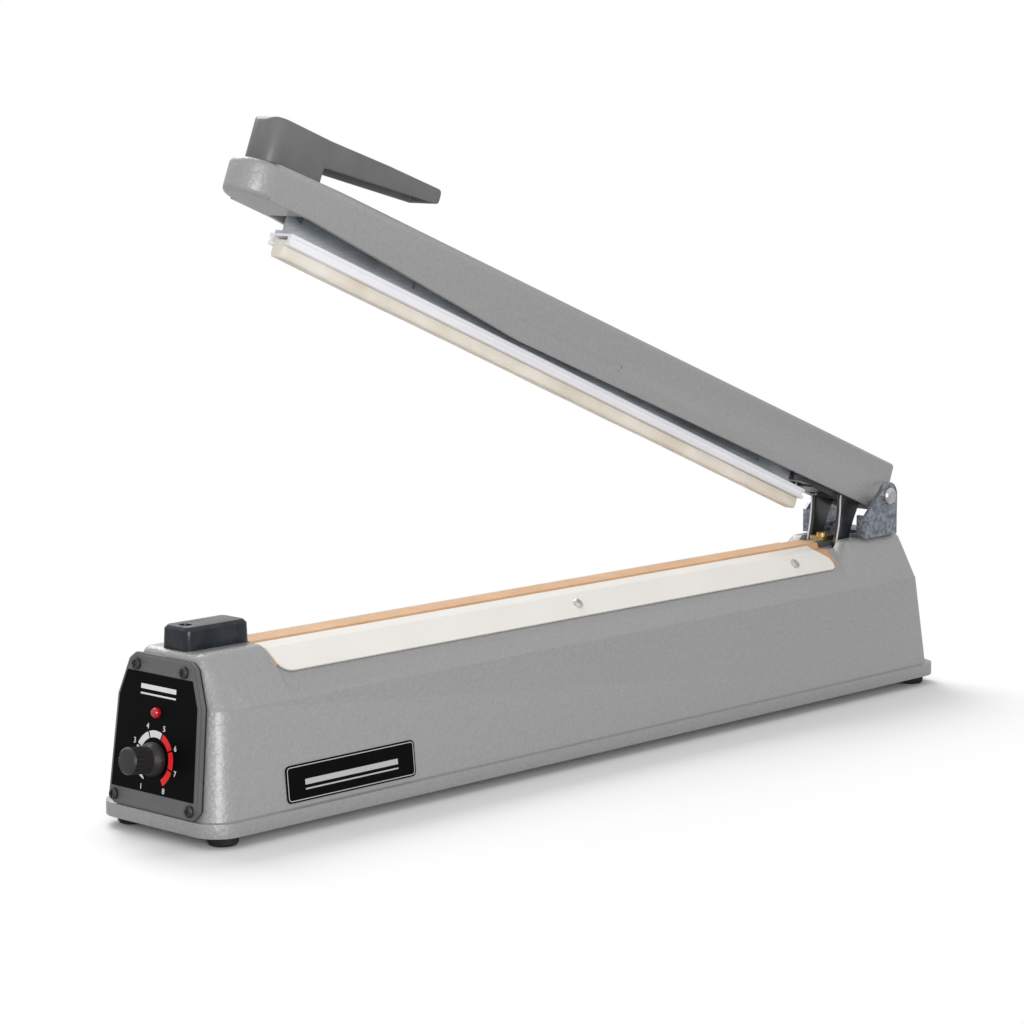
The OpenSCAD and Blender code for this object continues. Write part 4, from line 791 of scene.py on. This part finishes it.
# Transformer, timer and switch, closed in under the ridge: a stacked iron core with a taped coil,
# a green board with its relay, capacitor and nylon pillars, and the switch's red plunger.
core = Look("varnished_laminations", Metallic=0.4)
sheets = core.node(
    "ShaderNodeTexWave", {"wave_type": "BANDS", "bands_direction": "Y"},
    {"Vector": core.place, "Scale": 300.0, "Distortion": 0.4})
core.set(
    Base_Color=core.mixed(sheets, grey(0.03), grey(0.11)), Roughness=0.4 + sheets * 0.2,
    Normal=core.bump(sheets, 0.0001, 0.8))
dress(recast("transformer_core", "iron_core", 0.0004), core.material, "transformer_core")
coil = Look("yellow_coil_tape")
wraps = coil.node(
    "ShaderNodeTexWave", {"wave_type": "BANDS", "bands_direction": "Z"},
    {"Vector": coil.place, "Scale": 45.0, "Distortion": 1.5})
coil.set(
    Base_Color=coil.mixed(wraps, (0.42, 0.24, 0.03, 1), (0.62, 0.4, 0.08, 1)),
    Roughness=0.35 + wraps * 0.2, Normal=coil.bump(wraps, 0.00015, 0.7))
dress(recast("transformer_coil", "taped_coil", 0.0015, 3), coil.material, "transformer_coil")
board = Look("green_board_lacquer")
cells = board.node(
    "ShaderNodeTexVoronoi", {"feature": "F1", "distance": "CHEBYCHEV"},
    {"Vector": board.place, "Scale": 260.0})
tracks = board.band(cells, 0.42, 0.5)
board.set(
    Base_Color=board.mixed(tracks, (0.015, 0.11, 0.04, 1), (0.05, 0.22, 0.08, 1)),
    Roughness=0.3 + cells * 0.15, Normal=board.bump(tracks, 0.00004, 0.6))
paint(board.material, "timer_board")
paint(satin_plastic("natural_nylon", 0.6, 1200.0, 0.00004, 0.5), "board_pillars")
relay = satin_plastic("blue_relay_case", 0.09, 1300.0, 0.00003, 0.4, blue=3.0)
dress(recast("timer_relay", "relay_case", 0.0006), relay, "timer_relay")
sleeve = satin_plastic("dark_shrink_sleeve", 0.015, 300.0, 0.00004, 0.25, blue=1.5, coat=0.4)
dress(recast("timer_capacitor", "capacitor_can", 0.0006), sleeve, "timer_capacitor")
paint(ink("red_plunger", (0.55, 0.02, 0.02, 1), 0.4), "switch_plunger")


# Return spring: close-wound steel wire with an eye at each end. One eye hangs on a post under the
# ridge and the other on the fork's cross pin, so it stretches as the arm comes down. The pin's eye
# stands off to one side, clear of the switch's plunger.
post_low, post_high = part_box("spring_post")
cross_low, cross_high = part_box("fork_cross_pin")
spring_low, spring_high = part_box("return_spring")
wire, lead, turns = 0.0006, 0.006, 34
in_groove, round_pin, lead_from_eye = 0.0008, 0.0007, 0.0026
coil_r = (spring_high.z - spring_low.z) / 2 - wire
height = (cross_low.z + cross_high.z) / 2
from_x, to_x = (post_low.x + post_high.x) / 2, (cross_low.x + cross_high.x) / 2
coil_l = to_x - from_x - 2 * lead - 2 * wire


def wound(name, radius, pitch, count):
    """A round wire section swept round the spring's axis."""
    bpy.ops.object.select_all(action="DESELECT")
    bpy.ops.mesh.primitive_circle_add(
        vertices=8, radius=wire, location=(radius, 0, 0), rotation=(pi / 2, 0, 0))
    made = bpy.context.object
    made.name = name
    bpy.ops.object.transform_apply(location=True, rotation=True, scale=True)
    sweep = made.modifiers.new("winding", "SCREW")
    sweep.axis, sweep.angle, sweep.screw_offset = "Z", 2 * pi, pitch
    sweep.iterations, sweep.steps, sweep.render_steps = count, 16, 16
    sweep.use_merge_vertices = True
    sweep.merge_threshold = 0.00001
    bpy.ops.object.modifier_apply(modifier="winding")
    return made


coil_wire = wound("return_spring_wire", coil_r, coil_l / turns, turns)
coil_wire.data.transform(
    Matrix.Translation((from_x + lead + wire, 0, height)) @ Matrix.Rotation(pi / 2, 4, "Y"))
post_eye = wound("post_eye", (post_high.x - post_low.x) / 2 - in_groove, 0, 1)
post_eye.data.transform(Matrix.Translation((from_x, 0, height)))
pin_eye = wound("pin_eye", (cross_high.z - cross_low.z) / 2 + round_pin, 0, 1)
pin_eye.data.transform(
    Matrix.Translation((to_x, coil_r, height)) @ Matrix.Rotation(pi / 2, 4, "X"))
leads = []
for x0, y0, x1, z1 in (
        (from_x + lead_from_eye, 0, from_x + lead + wire, coil_r),
        (to_x - lead_from_eye, coil_r, to_x - lead - wire, 0)):
    bpy.ops.object.select_all(action="DESELECT")
    bpy.ops.mesh.primitive_cylinder_add(vertices=8, radius=wire, depth=1, location=(0, 0, 0))
    bit = bpy.context.object
    start, end = Vector((x0, y0, height)), Vector((x1, y0, height + z1))
    reach = end - start
    turned = reach.to_track_quat("Z", "Y").to_matrix().to_4x4()
    bit.data.transform(
        Matrix.Translation((start + end) / 2) @ turned
        @ Matrix.Diagonal((1, 1, reach.length + wire, 1)))
    leads.append(bit)
bpy.ops.object.select_all(action="DESELECT")
for bit in [post_eye, pin_eye, *leads, coil_wire]:
    bit.select_set(True)
bpy.context.view_layer.objects.active = coil_wire
bpy.ops.object.join()
bpy.ops.object.mode_set(mode="EDIT")
bpy.ops.mesh.select_all(action="SELECT")
bpy.ops.mesh.fill_holes(sides=8)
bpy.ops.mesh.normals_make_consistent(inside=False)
bpy.ops.object.mode_set(mode="OBJECT")
bpy.ops.object.shade_smooth_by_angle(angle=radians(50))
coil_wire.data.materials.clear()
coil_wire.data.materials.append(spring_finish)
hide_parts("return_spring")
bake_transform(coil_wire)
